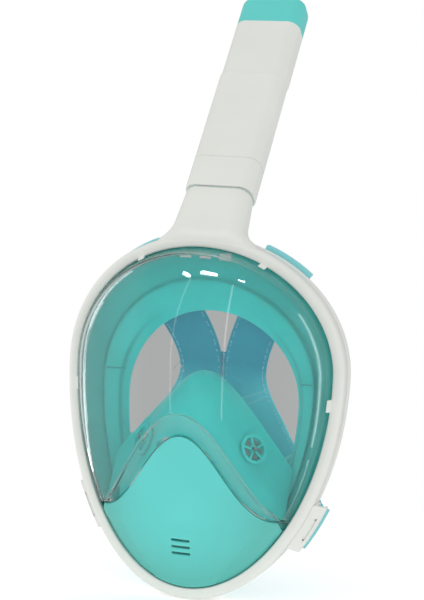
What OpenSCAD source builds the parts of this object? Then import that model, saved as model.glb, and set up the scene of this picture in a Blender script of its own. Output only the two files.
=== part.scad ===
// Full face snorkel mask: frame, clear lens, silicone skirt and nose cup, breathing tube and head strap.
// Millimetres. +Z is up, the wearer looks along -Y, and the origin is the middle of the face opening.

/* [Frame] */
// Half the width of the frame
ring_half = 96; // [90:0.5:102]
// Widest level of the frame up to its top
ring_top = 88.5; // [84:0.5:94]
// Widest level of the frame down to its bottom
ring_bottom = 151.5; // [145:0.5:158]
// Height of the widest level above the middle of the face opening
ring_wide_z = 47.5; // [44:0.5:51]
// How far the sides of the frame sweep back
ring_sweep = 15; // [12:0.5:18]
// Front of the frame ahead of the face opening
face_depth = 36; // [33:0.5:40]
// Width of the frame's front lip
lip_w = 7.4; // [6.8:0.1:8.2]
// Thickness of the frame's front lip
lip_t = 3.6; // [3:0.1:4.4]
// Thickness of the frame's outer wall
wall_t = 2.8; // [2.2:0.1:3.4]
// Depth of the frame from front to back
ring_d = 20; // [18:0.5:23]
// Radius of the frame's front outer edge
ring_round = 4; // [3:0.25:5]
// Gap between pieces that are clamped or pushed together
fit = 0.15; // [0.1:0.01:0.25]

/* [Lens] */
// Thickness of the clear lens
lens_t = 2.4; // [2:0.1:3]
// Width of the lens wall from the frame's contour to the edge of the window
edge_n = 13.8; // [12:0.2:16]
// Height of the lens wall in front of the frame
edge_d = 12; // [9:0.5:15]
// Height of the lens wall at its lower corners
edge_low = 6; // [4.5:0.5:9]
// Front of the window ahead of the face opening
window_y = 68; // [64:0.5:74]
// Height of the window's middle
window_z = 58; // [52:0.5:64]
// Place of the lens's lower corners on the frame, in degrees below the widest level
corner_a = 41; // [39:0.5:44]

/* [Chin cover] */
// Height of the top of the chin cover
chin_top_z = 7.3; // [3:0.1:11]
// Top of the chin cover ahead of the face opening
chin_top_y = 58.7; // [56:0.1:61]
// Thickness of the chin cover
cover_t = 2; // [1.6:0.1:2.4]
// How far the chin cover bulges
chin_bulge = 6; // [4:0.25:8]
// Height of the clear step above the chin cover
step_h = 15; // [12:0.5:18]
// Number of drain slots in the chin
slot_count = 3; // [2:1:4]
// Length of a drain slot
slot_l = 13; // [9:0.5:16]
// Width of a drain slot
slot_w = 2; // [1.6:0.1:2.6]

/* [Skirt] */
// Half the width of the face opening
open_half = 60; // [56:0.5:63]
// Top of the face opening above its middle
open_top = 85; // [80:0.5:88]
// Bottom of the face opening below its middle
open_bottom = 84; // [80:0.5:86]
// Thickness of the skirt's bead in the frame
bead_t = 4; // [3.4:0.1:4.6]
// Thickness of the skirt's wall
skirt_t = 2.2; // [1.8:0.1:2.8]
// Height of the nose cup's bridge
nose_z = 45.5; // [42:0.5:49]
// Slope of the nose cup's flanks
nose_slope = 1.3; // [1.2:0.02:1.4]
// Thickness of the nose cup
nose_t = 2; // [1.6:0.1:2.4]

/* [Valves] */
// Diameter of an inhale valve's seat
valve_d = 20; // [18:0.25:22]
// Diameter of the purge valve's seat
purge_d = 27; // [25:0.25:29]
// Thickness of a valve flap
flap_t = 0.9; // [0.7:0.05:1.2]
// How far a valve flap lifts
flap_lift = 1.5; // [1.2:0.1:1.8]
// Diameter of a valve flap's stem
stem_d = 3; // [2.6:0.1:3.4]
// Clearance round a stem or a guide pin
run_gap = 0.06; // [0.04:0.01:0.09]

/* [Tube] */
// Lean of the tube from upright
tube_lean = 38; // [35:0.5:41]
// Width of the tube
tube_w = 47.2; // [45.4:0.2:49]
// Depth of the tube from front to back
tube_dep = 24.4; // [23.4:0.2:26]
// Radius of the corners of the tube's section
tube_round = 9; // [8:0.25:10]
// Wall of the tube
tube_wall = 2.2; // [1.8:0.1:2.6]
// Thickness of the partitions between the air channels
part_t = 1.6; // [1.2:0.1:2]
// Half the width of the middle air channel
mid_half = 7.7; // [7:0.1:8.2]
// Length of the neck from the frame's top to the tube
neck_h = 32.5; // [31:0.5:35]
// Length of the tube's base sleeve
base_h = 24.5; // [24:0.5:28]
// Length of the tube
tube_h = 74; // [66:0.5:82]
// Length of the float housing
head_h = 50.5; // [49:0.5:55]
// Length of the cap
cap_h = 26.5; // [24:0.5:29]
// Rounding of the cap's top edge
cap_round = 8; // [6:0.25:10]
// How far the float housing stands back from the tube's front
head_shift = 1.8; // [1.2:0.1:2.4]
// Length of the spigot that the tube pushes onto
spigot_h = 22; // [20:0.5:23]
// Sliding gap between the tube and the spigot
slide_gap = 0.2; // [0.15:0.01:0.3]

/* [Floats] */
// Diameter of a float
float_d = 17; // [15:0.25:18]
// Height of a float
float_h = 16; // [14:0.25:18]
// How far a float rises
float_rise = 12; // [10:0.25:13]
// Diameter of a float's guide pin
pin_d = 2.4; // [2:0.1:3]

/* [Strap] */
// Width of the strap's webbing
web_w = 30; // [27:0.5:32]
// Thickness of the strap's webbing
web_t = 1.8; // [1.4:0.1:2.2]
// Distance of the strap's middle behind the face opening
strap_y = 24; // [20:0.5:32]
// Height of the strap's middle
strap_z = 42; // [38:0.5:46]
// Thickness of a strap hook
hook_t = 4; // [3.4:0.1:4.6]
// Gap round a strap hook
hook_gap = 0.4; // [0.3:0.05:0.5]

/* [Hidden] */
$fn = 48;

// Colours of the mouldings
white = [0.88, 0.89, 0.87];
mint = [0.40, 0.83, 0.78];
teal = [0.29, 0.69, 0.67];
clear = [0.80, 0.93, 0.92, 0.35];
cyan = [0.49, 0.81, 0.85];
blue = [0.30, 0.58, 0.72];

// Stations round the frame, and along the lens's two stretches
ring_steps = 72;
lens_up = 40;
lens_low = 20;

// Depths of the pieces that the frame clamps, from its front
flange_d = lip_t + fit;
bead_d = flange_d + lens_t + fit;
rear_d = bead_d + bead_t + fit;
// Where those pieces start inside the frame's outer wall, and how far in they reach
seat_n = wall_t + fit;
bead_n = 10.6;
rear_n = 9.4;

// Stations along the tube's axis
gasket_t = 0.8;
gasket_gap = 0.2;
neck_step = 1.1;
base_s = neck_h;
tube_s = base_s + base_h;
head_s = tube_s + tube_h;
cap_s = head_s + head_h;
shoulder_s = base_s - gasket_t - gasket_gap;
spigot_s = base_s + spigot_h;
bore_s = 8;
// Sizes across the tube
bore_w = tube_w - 2 * tube_wall;
bore_dep = tube_dep - 2 * tube_wall;
spigot_w = bore_w - 2 * slide_gap;
spigot_dep = bore_dep - 2 * slide_gap;
spigot_wall = 1.8;
head_wall = 1.8;
ramp_h = 5.5;
chamber_s = head_s + ramp_h;
chamber_w = tube_w - 2 * head_wall;
chamber_dep = tube_dep - 2 * head_wall;
ledge = 2;
plate_t = 2;
float_x = chamber_w / 4 + 0.4;
float_rest = chamber_s + plate_t + 0.3;
float_top = float_rest + float_h + float_rise + 0.3;

// Basic helpers
function unit(v) = v / norm(v);
function mix(a, b, f) = a + (b - a) * f;
function clamp_to(v, low, high) = min(high, max(low, v));
module mirror_x() {
    mirror([1, 0, 0]) children();
}
module moulded() {
    // One welded moulding with facets: a resize by nothing keeps its size
    resize([0, 0, 0]) children();
}
module aim(p, dir) {
    // Stands children up along dir at the point p
    d = unit(dir);
    translate(p) rotate(a = acos(d[2]), v = cross([0, 0, 1], d)) children();
}

// A solid through rows of points, each row a closed section. A closed loft joins its last row to its first.
module loft(rows, closed = false) {
    m = len(rows);
    n = len(rows[0]);
    sides = [for (i = [0 : m - (closed ? 1 : 2)]) for (j = [0 : n - 1])
        let (a = i * n + j, b = i * n + (j + 1) % n)
        let (c = ((i + 1) % m) * n + (j + 1) % n, d = ((i + 1) % m) * n + j)
        each [[a, b, c], [a, c, d]]];
    z = (m - 1) * n;
    // Each end is a strip of triangles between the section's first half and its second half
    strip = [for (j = [0 : ceil(n / 2) - 2]) let (k = n - 2 - j)
        each j + 1 == k ? [[j, k, k + 1]] : [[j, j + 1, k], [j, k, k + 1]]];
    ends = closed ? [] : [for (f = strip) each [[f[2], f[1], f[0]], [z + f[0], z + f[1], z + f[2]]]];
    polyhedron(points = [for (r = rows) each r], faces = concat(sides, ends));
}

// A skin of thickness t behind a grid of points. wrap joins the last column to the first,
// and cap closes the last row onto its middle.
function grid_at(g, i, j, wrap) = let (n = len(g[0]))
    g[clamp_to(i, 0, len(g) - 1)][wrap ? (j + n) % n : clamp_to(j, 0, n - 1)];
function facing(g, i, j, wrap) = unit(cross(
    grid_at(g, i + 1, j, wrap) - grid_at(g, i - 1, j, wrap),
    grid_at(g, i, j + 1, wrap) - grid_at(g, i, j - 1, wrap)));
function middle(row) = [for (k = [0 : 2]) min([for (p = row) p[k]]) / 2 + max([for (p = row) p[k]]) / 2];
module skin(g, t, wrap = false, cap = false) {
    m = len(g);
    n = len(g[0]);
    last = n - (wrap ? 1 : 2);
    z = (m - 1) * n;
    h = m * n;
    front = [for (r = g) each r];
    back = [for (i = [0 : m - 1]) for (j = [0 : n - 1]) g[i][j] + t * facing(g, i, j, wrap)];
    tip = middle(g[m - 1]);
    walls = [for (i = [0 : m - 2]) for (j = [0 : last])
        let (a = i * n + j, b = i * n + (j + 1) % n, c = (i + 1) * n + (j + 1) % n, d = (i + 1) * n + j)
        each [[h + a, h + b, h + c], [h + a, h + c, h + d], [a, c, b], [a, d, c]]];
    first = [for (j = [0 : last]) let (b = (j + 1) % n) each [[h + b, h + j, j], [h + b, j, b]]];
    final = [for (j = [0 : last]) let (a = z + j, b = z + (j + 1) % n)
        each cap ? [[h + a, h + b, 2 * h + 1], [b, a, 2 * h]] : [[h + a, h + b, b], [h + a, b, a]]];
    sides = wrap ? [] : [for (i = [0 : m - 2])
        let (a = i * n, d = (i + 1) * n, b = a + n - 1, c = d + n - 1)
        each [[h + a, h + d, d], [h + a, d, a], [h + c, h + b, b], [h + c, b, c]]];
    tips = cap ? [tip, tip + [0, t, 0]] : [];
    polyhedron(points = concat(front, back, tips), faces = concat(walls, first, final, sides));
}

// The frame's outline: two half ellipses. n goes in from the contour and d back from the front.
function rim_b(t) = sin(t) >= 0 ? ring_top : ring_bottom;
function rim_out(t) = unit([cos(t) / ring_half, sin(t) / rim_b(t)]);
function rim(t, n) = [ring_half * cos(t), ring_wide_z + rim_b(t) * sin(t)] - n * rim_out(t);
function rim_y(t) = ring_sweep * pow(cos(t), 2) - face_depth;
function rim_pt(t, n, d) = let (p = rim(t, n)) [p[0], rim_y(t) + d, p[1]];
module hoop(section) {
    turns = [for (i = [0 : ring_steps - 1]) 360 * i / ring_steps];
    loft([for (t = turns) [for (q = section) rim_pt(t, q[0], q[1])]], true);
}
module ring_arc(section, from, to, steps = 6) {
    turns = [for (i = [0 : steps]) mix(from, to, i / steps)];
    loft([for (t = turns) [for (q = section) rim_pt(t, q[0], q[1])]]);
}
function block(n0, n1, d0, d1) = [[n0, d1], [n0, d0], [n1, d0], [n1, d1]];

// The tube stands on the frame's top
tube_at = [0, ring_sweep - face_depth, ring_wide_z + ring_top];
module on_tube(s = 0) {
    translate(tube_at) rotate([-tube_lean, 0, 0]) translate([0, 0, s]) children();
}
module on_head(s) {
    on_tube(s) translate([0, head_shift, 0]) children();
}
// The tube's section, and the like sections inside it, whose corners keep one wall thickness
function corner_r(w) = tube_round - (tube_w - w) / 2;
module oblong(w, d) {
    r = corner_r(w);
    offset(r = r) square([w - 2 * r, d - 2 * r], center = true);
}
module channels(w, d) {
    // Three air channels: one in the middle to breathe in, two at the sides to breathe out
    difference() {
        oblong(w, d);
        for (x = [-1, 1])
            translate([x * (mid_half + part_t / 2), 0]) square([part_t, d + 1], center = true);
    }
}
function oblong_row(w, d, s, shift = 0, r = tube_round, k = 32) = [for (i = [0 : k - 1])
    let (a = -360 * (i + 0.5) / k)
    [sign(cos(a)) * (w / 2 - r) + r * cos(a), shift + sign(sin(a)) * (d / 2 - r) + r * sin(a), s]];

// Frame
frame_section = concat(
    [for (a = [180 : 30 : 270]) ring_round * [1 + cos(a), 1 + sin(a)]],
    [[lip_w - 1.2, 0.2], [lip_w, 1.2], [lip_w, lip_t], [wall_t, lip_t], [wall_t, ring_d], [0.6, ring_d],
    [0, ring_d - 0.6]]);
fillet_r = 10;
neck_flare = 2;
neck_w = tube_w - 2 * neck_step;
neck_dep = tube_dep - 2 * neck_step;
function spread(s) = neck_flare * (1 - s / shoulder_s)
    + (s >= 0 ? 0 : fillet_r - sqrt(max(0, fillet_r * fillet_r - s * s)));
module ring_inside(n) {
    rotate([90, 0, 0]) linear_extrude(4 * ring_half, center = true)
        polygon([for (i = [0 : ring_steps - 1]) rim(360 * i / ring_steps, n)]);
}
module neck() {
    levels = concat([for (f = [0.99, 0.93, 0.8, 0.6, 0.3, 0]) -f * fillet_r], [shoulder_s]);
    difference() {
        on_tube() loft([for (s = levels) oblong_row(neck_w + 2 * spread(s), neck_dep + spread(s), s)]);
        ring_inside(wall_t - wall_t / 7);
        // Nothing of the neck stands ahead of the frame's front
        translate([-tube_w, -face_depth - 4 * tube_w + ring_round / 5, 0])
            cube([2 * tube_w, 4 * tube_w, 2 * tube_at[2]]);
    }
}
port_x = 13.6;
port_w = 9;
port_y = bead_d + 1.5 - face_depth;
module air_ports() {
    // Ways from the tube's three channels through the frame's top
    for (x = [-port_x, 0, port_x]) translate([x - port_w / 2, port_y, tube_at[2] - 1.4 * bead_n])
        cube([port_w, port_w, 2 * bead_n]);
}
duct_y = 8;
duct_dep = 6.5;
duct_l = 15;
module air_ducts() {
    // Ways from the spigot's channels down to the ports
    for (x = [-port_x, 0, port_x]) on_tube(bore_s + 1 - duct_l) translate([x - port_w / 2, -duct_y, 0])
        cube([port_w, duct_dep, duct_l]);
}
tab_rise = 3.2;
tab_at = 62;
tab_low = -6.5;
tab_half = 1.6;
module lens_tab(t) {
    // A tongue that leans in along the lens wall
    ring_arc([[lip_w - 1.4, 1], [lip_w + tab_rise / 4, -tab_rise], [lip_w + 0.54 * tab_rise, -tab_rise],
        [lip_w + 0.4, 1]], t - tab_half, t + tab_half, 2);
}
module latch_hole(gap) {
    translate([0, spigot_dep / 2, latch_s])
        cube([latch_w + 2 * gap, spigot_dep / 2, latch_l + 2 * gap], center = true);
}
module frame() color(white) moulded() difference() {
    union() {
        hoop(frame_section);
        neck();
        for (t = [tab_at, tab_low]) for (a = [t, 180 - t]) lens_tab(a);
    }
    on_tube(bore_s) linear_extrude(spigot_s) oblong(spigot_w + 2 * fit, spigot_dep + 2 * fit);
    on_tube() latch_hole(fit);
    air_ports();
    air_ducts();
}

// Air spigot: bonded into the neck's bore, with the three channels that the tube pushes onto
module air_spigot() color(white) on_tube() difference() {
    translate([0, 0, bore_s + fit]) linear_extrude(spigot_s - bore_s - fit) difference() {
        oblong(spigot_w, spigot_dep);
        channels(spigot_w - 2 * spigot_wall, spigot_dep - 2 * spigot_wall);
    }
    latch_hole(fit);
}

// Rear ring: screwed in behind the skirt's bead, with the pegs that the upper strap hooks sit on
peg_d = 6;
peg_a = 57;
peg_n = 6.2;
rear_ease = 1.5;
module rear_ring() color(white) moulded() difference() {
    union() {
        hoop([[seat_n, ring_d], [seat_n, rear_d], [rear_n, rear_d],
            [rear_n, ring_d - rear_ease], [rear_n - rear_ease, ring_d]]);
        for (t = [peg_a, 180 - peg_a]) translate(rim_pt(t, peg_n, ring_d - 1)) rotate([-90, 0, 0])
            cylinder(d = peg_d, h = hook_t + 3);
    }
    air_ports();
}

// The bell curve of the chin cover's top edge, u from -1 to 1
corner = rim_pt(-corner_a, lip_w + 2.6, 0);
function bell(u, sharp) = pow(0.5 + 0.5 * cos(180 * u), sharp);
chin_sharp = 1.25;
ridge_sharp = 0.62;
function chin_edge(u) = [corner[0] * u,
    mix(-chin_top_y, corner[1] - 2, pow(abs(u), 1.8)),
    mix(corner[2], chin_top_z, bell(u, chin_sharp))];
// Lens: flange under the frame's lip, wall, rounded edge and window, with a step down to the chin cover.
// The window's bends are set by its wall's height at the sides, the top and the lower corners.
ridge_end = rim(-corner_a, edge_n);
bend_side = (window_y + rim_y(0) - edge_d) / pow(ring_half - edge_n, 2);
bend_top = (window_y + rim_y(90) - edge_d) / pow(tube_at[2] - edge_n - window_z, 2);
bend_low = (window_y + rim_y(corner_a) - edge_low - bend_side * pow(ridge_end[0], 2))
    / pow(ridge_end[1] - window_z, 2);
function window_pt(p) = [p[0],
    bend_side * p[0] * p[0] + (p[1] > window_z ? bend_top : bend_low) * pow(p[1] - window_z, 2) - window_y,
    p[1]];
function ridge(u) = window_pt([ridge_end[0] * u,
    mix(ridge_end[1], chin_top_z + step_h, bell(u, ridge_sharp))]);
function tuck_y(u) = (1.25 + 1.6 * u * u) * cover_t + 2 * fit;
// The flange's two ends are eased in from the frame's wall
end_ease = 4.6;
function flange_n(t) = seat_n + (abs(t - 90) > 89.9 + corner_a ? end_ease : 0);
function lens_edge(t) = let (foot = rim_pt(t, lip_w + 0.9, 0.5), edge = window_pt(rim(t, edge_n)))
    [rim_pt(t, flange_n(t), flange_d), rim_pt(t, lip_w + 0.5, flange_d), foot,
    mix(foot, edge, 0.75) + 0.8 * [rim_out(t)[0], -1, rim_out(t)[1]], edge];
function lens_foot(u) = let (e = chin_edge(u), r = ridge(u))
    [e + [0, tuck_y(u), -5], e + [0, tuck_y(u), 0.8], e + [0, 0.4, 1], mix(e, r, 0.6), r];
function lens_rows() = let (stations = concat(
        [for (i = [0 : lens_up]) lens_edge(mix(-corner_a, 180 + corner_a, i / lens_up))],
        [for (i = [1 : lens_low - 1]) lens_foot(mix(-1, 1, i / lens_low))]))
    concat([for (k = [0 : 4]) [for (s = stations) s[k]]],
        [for (f = [0.1, 0.24, 0.42, 0.62, 0.82]) [for (s = stations)
            window_pt([mix(s[4][0], 0, f), mix(s[4][2], window_z, f)])]]);
module lens() color(clear) skin(lens_rows(), lens_t, wrap = true, cap = true);

// Chin cover: from the bell curve down to the frame, with a flange under the frame's lip
chin_end = 0.95;
chin_cols = 28;
chin_gap = 1;
function chin_foot(u) = mix(-90, -90 + (90 - corner_a), u);
function chin_at(u, f) = let (top = chin_edge(u), low = rim_pt(chin_foot(u), lip_w + chin_gap, 1))
    mix(top, low, f) - [0, chin_bulge * sin(180 * pow(f, 1.4)) * (1 - u * u), 0];
function chin_rows() = let (us = [for (i = [0 : chin_cols]) mix(chin_end, -chin_end, i / chin_cols)])
    concat([for (f = [0 : 0.125 : 1]) [for (u = us) chin_at(u, f)]],
        [[for (u = us) rim_pt(chin_foot(u), lip_w + chin_gap, flange_d)],
        [for (u = us) rim_pt(chin_foot(u), seat_n, flange_d)]]);
purge_f = 0.72;
purge_at = chin_at(0, purge_f);
purge_sag = chin_at(purge_d / 2 / corner[0], purge_f)[1] - purge_at[1];
purge_dir = unit(cross(chin_at(0, purge_f + 0.02) - chin_at(0, purge_f - 0.02), [1, 0, 0]));
module drain_slots() {
    pitch = 2.4 * slot_w;
    for (k = [0 : slot_count - 1]) aim(purge_at, purge_dir)
        translate([0, (k - (slot_count - 1) / 2) * pitch, 0]) cube([slot_l, slot_w, 20], center = true);
}
module chin_cover() color(mint) moulded() difference() {
    skin(chin_rows(), cover_t);
    drain_slots();
}

// Face skirt: bead in the frame, two panels with a step between them, and the sealing lip
open_wide = 24.5;
open_sweep = 8;
open_front = 6;
panel_step = 3.4;
function open_pt(t) = [open_half * cos(t),
    open_sweep * pow(cos(t), 2) - open_front,
    open_wide + (sin(t) >= 0 ? open_top - open_wide : open_bottom + open_wide) * sin(t)];
function skirt_pt(t, f, y) = mix(rim_pt(t, bead_n, bead_d + 1.4), open_pt(t), f) + [0, y, 0];
function skirt_row(t) = concat(
    [rim_pt(t, seat_n, bead_d + bead_t), rim_pt(t, seat_n, bead_d), rim_pt(t, bead_n, bead_d)],
    [skirt_pt(t, 0.12, 0), skirt_pt(t, 0.42, 0), skirt_pt(t, 0.5, -panel_step)],
    [skirt_pt(t, 0.86, -1.2), skirt_pt(t, 1, 2)],
    [skirt_pt(t, 0.99, 2 + skirt_t), skirt_pt(t, 0.84, skirt_t - 1)],
    [skirt_pt(t, 0.48, skirt_t + 0.2 - panel_step), skirt_pt(t, 0.4, skirt_t + 0.2)],
    [skirt_pt(t, 0.1, skirt_t + 0.2), rim_pt(t, bead_n, bead_d + bead_t)]);
module face_skirt() color(teal) moulded() difference() {
    loft([for (i = [0 : ring_steps - 1]) skirt_row(360 * i / ring_steps)], true);
    air_ports();
}

// Nose cup: a hood from the wearer's nose and cheeks forward to the back of the lens's step
nose_reach = 0.97;
nose_cols = 28;
nose_round = 18;
nose_back = 9;
nose_arch = 14;
function nose_rear(u) = let (x = u * corner[0], fall = sqrt(x * x + nose_round * nose_round) - nose_round)
    [x, -nose_back, nose_z - nose_slope * fall];
function nose_front(u) = chin_edge(u) + [0, tuck_y(u) + 1.5 * lens_t + fit, 1];
function nose_at(u, f) = mix(nose_rear(u), nose_front(u), f)
    + [0, 0, nose_arch * pow(1 - u * u, 2) * sin(180 * f)];
valve_u = 0.6;
valve_f = 0.47;
valve_at = nose_at(valve_u, valve_f);
valve_dir = unit(cross(nose_at(valve_u + 0.05, valve_f) - nose_at(valve_u - 0.05, valve_f),
    nose_at(valve_u, valve_f - 0.1) - nose_at(valve_u, valve_f + 0.1)));
module nose_cup() color(teal) moulded() difference() {
    skin([for (f = [0 : 0.125 : 1]) [for (i = [0 : nose_cols])
        nose_at(mix(nose_reach, -nose_reach, i / nose_cols), f)]], nose_t);
    for (x = [0, 1]) mirror([x, 0, 0]) aim(valve_at, valve_dir)
        cylinder(d = valve_d - 2 * seat_lip + 2 * fit, h = 8 * nose_t, center = true);
}

// Inhale valves: a spoked seat in the nose cup and a flap under it
spoke_w = 1.4;
spoke_t = 1.6;
seat_wall = 2.2;
seat_lip = 1;
seat_out = 2;
seat_in = 3;
module spokes(d, count, w, h) {
    for (k = [0 : count - 1]) rotate(360 * k / count) translate([0, -w / 2, 0]) cube([d / 2, w, h]);
}
module valve_seat() {
    difference() {
        union() {
            rotate_extrude() translate([valve_d / 2, 0])
                polygon([[-seat_wall, -seat_in], [-seat_lip, -seat_in], [-seat_lip, 0.9], [0, 0.9],
                [0, seat_out], [-seat_wall, seat_out]]);
            spokes(valve_d - seat_wall, 5, spoke_w, spoke_t);
            cylinder(d = 1.8 * stem_d, h = spoke_t);
        }
        translate([0, 0, -1]) cylinder(d = stem_d + 2 * run_gap, h = spoke_t + 2);
    }
}
module valve_flap() {
    translate([0, 0, -flap_t - 0.1]) cylinder(d = flap_d, h = flap_t);
    translate([0, 0, -0.2]) cylinder(d = stem_d, h = spoke_t + flap_lift + 0.5);
}
module inhale_seat_right() color(mint) aim(valve_at, valve_dir) valve_seat();
module inhale_seat_left() color(mint) mirror_x() aim(valve_at, valve_dir) valve_seat();
flap_d = valve_d - 2 * seat_wall - 1;
module inhale_flap_right() color(clear) aim(valve_at, valve_dir) valve_flap();
module inhale_flap_left() color(clear) mirror_x() aim(valve_at, valve_dir) valve_flap();

// Purge valve: a seat cup behind the drain slots, with its flap on the outer side
purge_spoke_t = 1.8;
purge_wall = 1.6;
purge_gap = 0.4;
purge_rise = 2.8;
purge_h = purge_spoke_t + flap_t + flap_lift + purge_rise;
module on_purge() {
    aim(purge_at - (cover_t + fit + purge_sag) * purge_dir, purge_dir)
        translate([0, 0, -purge_h]) children();
}
module purge_seat() color(white) on_purge() difference() {
    union() {
        difference() {
            cylinder(d = purge_d, h = purge_h - purge_gap);
            translate([0, 0, -1]) cylinder(d = purge_d - 2 * purge_wall, h = purge_h + 2);
        }
        spokes(purge_d - purge_wall, 4, purge_wall, purge_spoke_t);
        cylinder(d = 2 * stem_d, h = purge_spoke_t);
    }
    translate([0, 0, -1]) cylinder(d = stem_d + 2 * run_gap, h = purge_spoke_t + 2);
}
module purge_flap() color(clear) on_purge() {
    translate([0, 0, purge_spoke_t + 0.1]) cylinder(d = purge_d - 2 * purge_wall - 1, h = flap_t);
    translate([0, 0, 0.9 - flap_lift]) cylinder(d = stem_d, h = purge_spoke_t + flap_lift - 0.4);
}

// Gasket, latch and exhale flaps on the neck's spigot
latch_w = 12;
latch_l = 8;
latch_s = 0.55 * neck_h;
latch_out = 1.2;
latch_lip = 1;
module tube_gasket() color(clear) on_tube(shoulder_s) linear_extrude(gasket_t) difference() {
    oblong(neck_w - 0.2, neck_dep - 0.2);
    oblong(spigot_w + 2 * fit, spigot_dep + 2 * fit);
}
module tube_latch() color(white) on_tube(latch_s) {
    inner = spigot_dep / 2 - spigot_wall - gasket_gap;
    translate([-latch_w / 2, inner - latch_lip / 2, -latch_l / 2])
        cube([latch_w, neck_dep / 2 + latch_out + latch_lip / 2 - inner, latch_l]);
    // A flange keeps the button in the neck
    translate([-latch_w / 2 - latch_lip, inner - latch_out, -latch_l / 2 - latch_lip])
        cube([latch_w + 2 * latch_lip, latch_out, latch_l + 2 * latch_lip]);
}
module side_flap() {
    // A flap that turns on the round bead along its inner edge
    hinge_x = mid_half + part_t + hook_gap;
    translate([0, 0, gasket_gap / 2]) {
        linear_extrude(flap_t) intersection() {
            oblong(spigot_w - spigot_wall, spigot_dep - spigot_wall);
            translate([hinge_x, -tube_dep]) square(2 * tube_dep);
        }
        translate([hinge_x, 0, flap_t / 2]) rotate([90, 0, 0])
            cylinder(d = flap_t, h = 0.8 * spigot_dep, center = true);
    }
}
module exhale_flap_right() color(clear) on_tube(spigot_s) side_flap();
module exhale_flap_left() color(clear) mirror_x() on_tube(spigot_s) side_flap();

// Tube: base sleeve over the spigot, tube with its three channels, and the float housing
module tube_base() color(white) on_tube(base_s) linear_extrude(base_h) difference() {
    oblong(tube_w, tube_dep);
    oblong(bore_w, bore_dep);
}
module snorkel_tube() color(white) on_tube(tube_s) difference() {
    linear_extrude(tube_h) difference() {
        oblong(tube_w, tube_dep);
        channels(bore_w, bore_dep);
    }
    // Exhaled air leaves through a slot at the back of each side channel
    for (x = [-1, 1]) translate([x * (mid_half + part_t + 4.5), tube_dep / 2, tube_h - 12])
        cube([6, 3 * tube_wall, 12], center = true);
}
module float_housing() color(white) on_tube(head_s) moulded() difference() {
    // A ramp leads from the tube's section back to the housing's
    loft([oblong_row(tube_w, tube_dep, 0), oblong_row(tube_w, tube_dep, ramp_h, head_shift),
        oblong_row(tube_w, tube_dep, head_h, head_shift)]);
    translate([0, head_shift, ramp_h]) linear_extrude(head_h) oblong(chamber_w, chamber_dep);
    translate([0, head_shift / 2, -1]) linear_extrude(head_h)
        oblong(chamber_w - 2 * ledge, chamber_dep - 2 * ledge);
    // Intake slots at the back, above the float seat
    for (k = [0 : 1]) translate([0, head_shift + tube_dep / 2, head_h - 3.5 - 4.5 * k])
        cube([chamber_w / 2, 3 * head_wall, 2.4], center = true);
}

// Float valve: a cage plate with two guide pins, two floats, and the seat that they close
module float_cage() color(teal) on_head(chamber_s) difference() {
    union() {
        linear_extrude(plate_t) oblong(chamber_w - 2 * fit, chamber_dep - 2 * fit);
        for (x = [-1, 1])
            translate([x * float_x, 0, 0]) cylinder(d = pin_d, h = float_top - chamber_s + plate_t + 1);
    }
    // Vents between the pins and beside them
    cube([0.4 * float_x, 0.75 * chamber_dep, 4 * plate_t], center = true);
    for (x = [-1, 1]) for (y = [-1, 1]) translate([x * 0.9 * float_x, y * 0.29 * chamber_dep, 0])
        cube([0.8 * float_x, chamber_dep / 5, 4 * plate_t], center = true);
}
module float_seat() color(teal) on_head(float_top) linear_extrude(plate_t) difference() {
    oblong(chamber_w - 2 * fit, chamber_dep - 2 * fit);
    for (x = [-1, 1]) translate([x * float_x, 0]) difference() {
        circle(d = float_d - 6);
        for (a = [0, 60, 120]) rotate(a) square([float_d, 1.4], center = true);
        circle(d = pin_d + 2.4);
    }
    for (x = [-1, 1]) translate([x * float_x, 0]) circle(d = pin_d + 2 * run_gap);
}
module float_body() {
    on_head(float_rest) translate([float_x, 0, 0]) difference() {
        union() {
            cylinder(d1 = float_d - 3, d2 = float_d, h = 1.5);
            translate([0, 0, 1.5]) cylinder(d = float_d, h = float_h - 3);
            translate([0, 0, float_h - 1.5]) cylinder(d1 = float_d, d2 = float_d - 3, h = 1.5);
        }
        translate([0, 0, -1]) cylinder(d = pin_d + 2 * run_gap, h = float_h + 2);
    }
}
module float_right() color(mint) float_body();
module float_left() color(mint) mirror_x() float_body();

// Cap: a dome with a rounded top edge over the float housing
module edge_profile(r, h, edge) {
    // Half section of a wall of radius r whose top edge is rounded
    intersection() {
        union() {
            square([r, h - edge]);
            square([r - edge, h]);
            translate([r - edge, h - edge]) circle(r = edge);
        }
        square([r, h]);
    }
}
module rounded_dome(w, d, r, h, edge) {
    // Quarter turns at the corners, straight runs between them, and a block in the middle
    x = w / 2 - r;
    y = d / 2 - r;
    for (k = [[x, y, 0], [-x, y, 90], [-x, -y, 180], [x, -y, 270]]) translate([k[0], k[1], 0])
        rotate(k[2]) rotate_extrude(angle = 90) edge_profile(r, h, edge);
    for (k = [[x, y, 0], [y, x, 90]]) for (a = [k[2], k[2] + 180])
        rotate(a) translate([k[0], 0, 0]) rotate([90, 0, 0])
            linear_extrude(2 * k[1], center = true) edge_profile(r, h, edge);
    translate([-x, -y, 0]) cube([2 * x, 2 * y, h]);
}
module top_cap() color(mint) on_head(cap_s) difference() {
    rounded_dome(tube_w, tube_dep, tube_round, cap_h, cap_round);
    translate([0, 0, -1]) linear_extrude(cap_h - head_wall)
        oblong(chamber_w - 2 * ledge, chamber_dep - 2 * ledge);
}

// Strap clips: white pockets on the lower sides of the frame
clip_from = -33;
clip_to = -47.5;
clip_mid = (clip_from + clip_to) / 2;
clip_out = 7;
clip_d0 = 5;
clip_slope = 9;
clip_wall = 1.6;
clip_base = 3;
clip_d1 = ring_d + fit;
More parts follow.
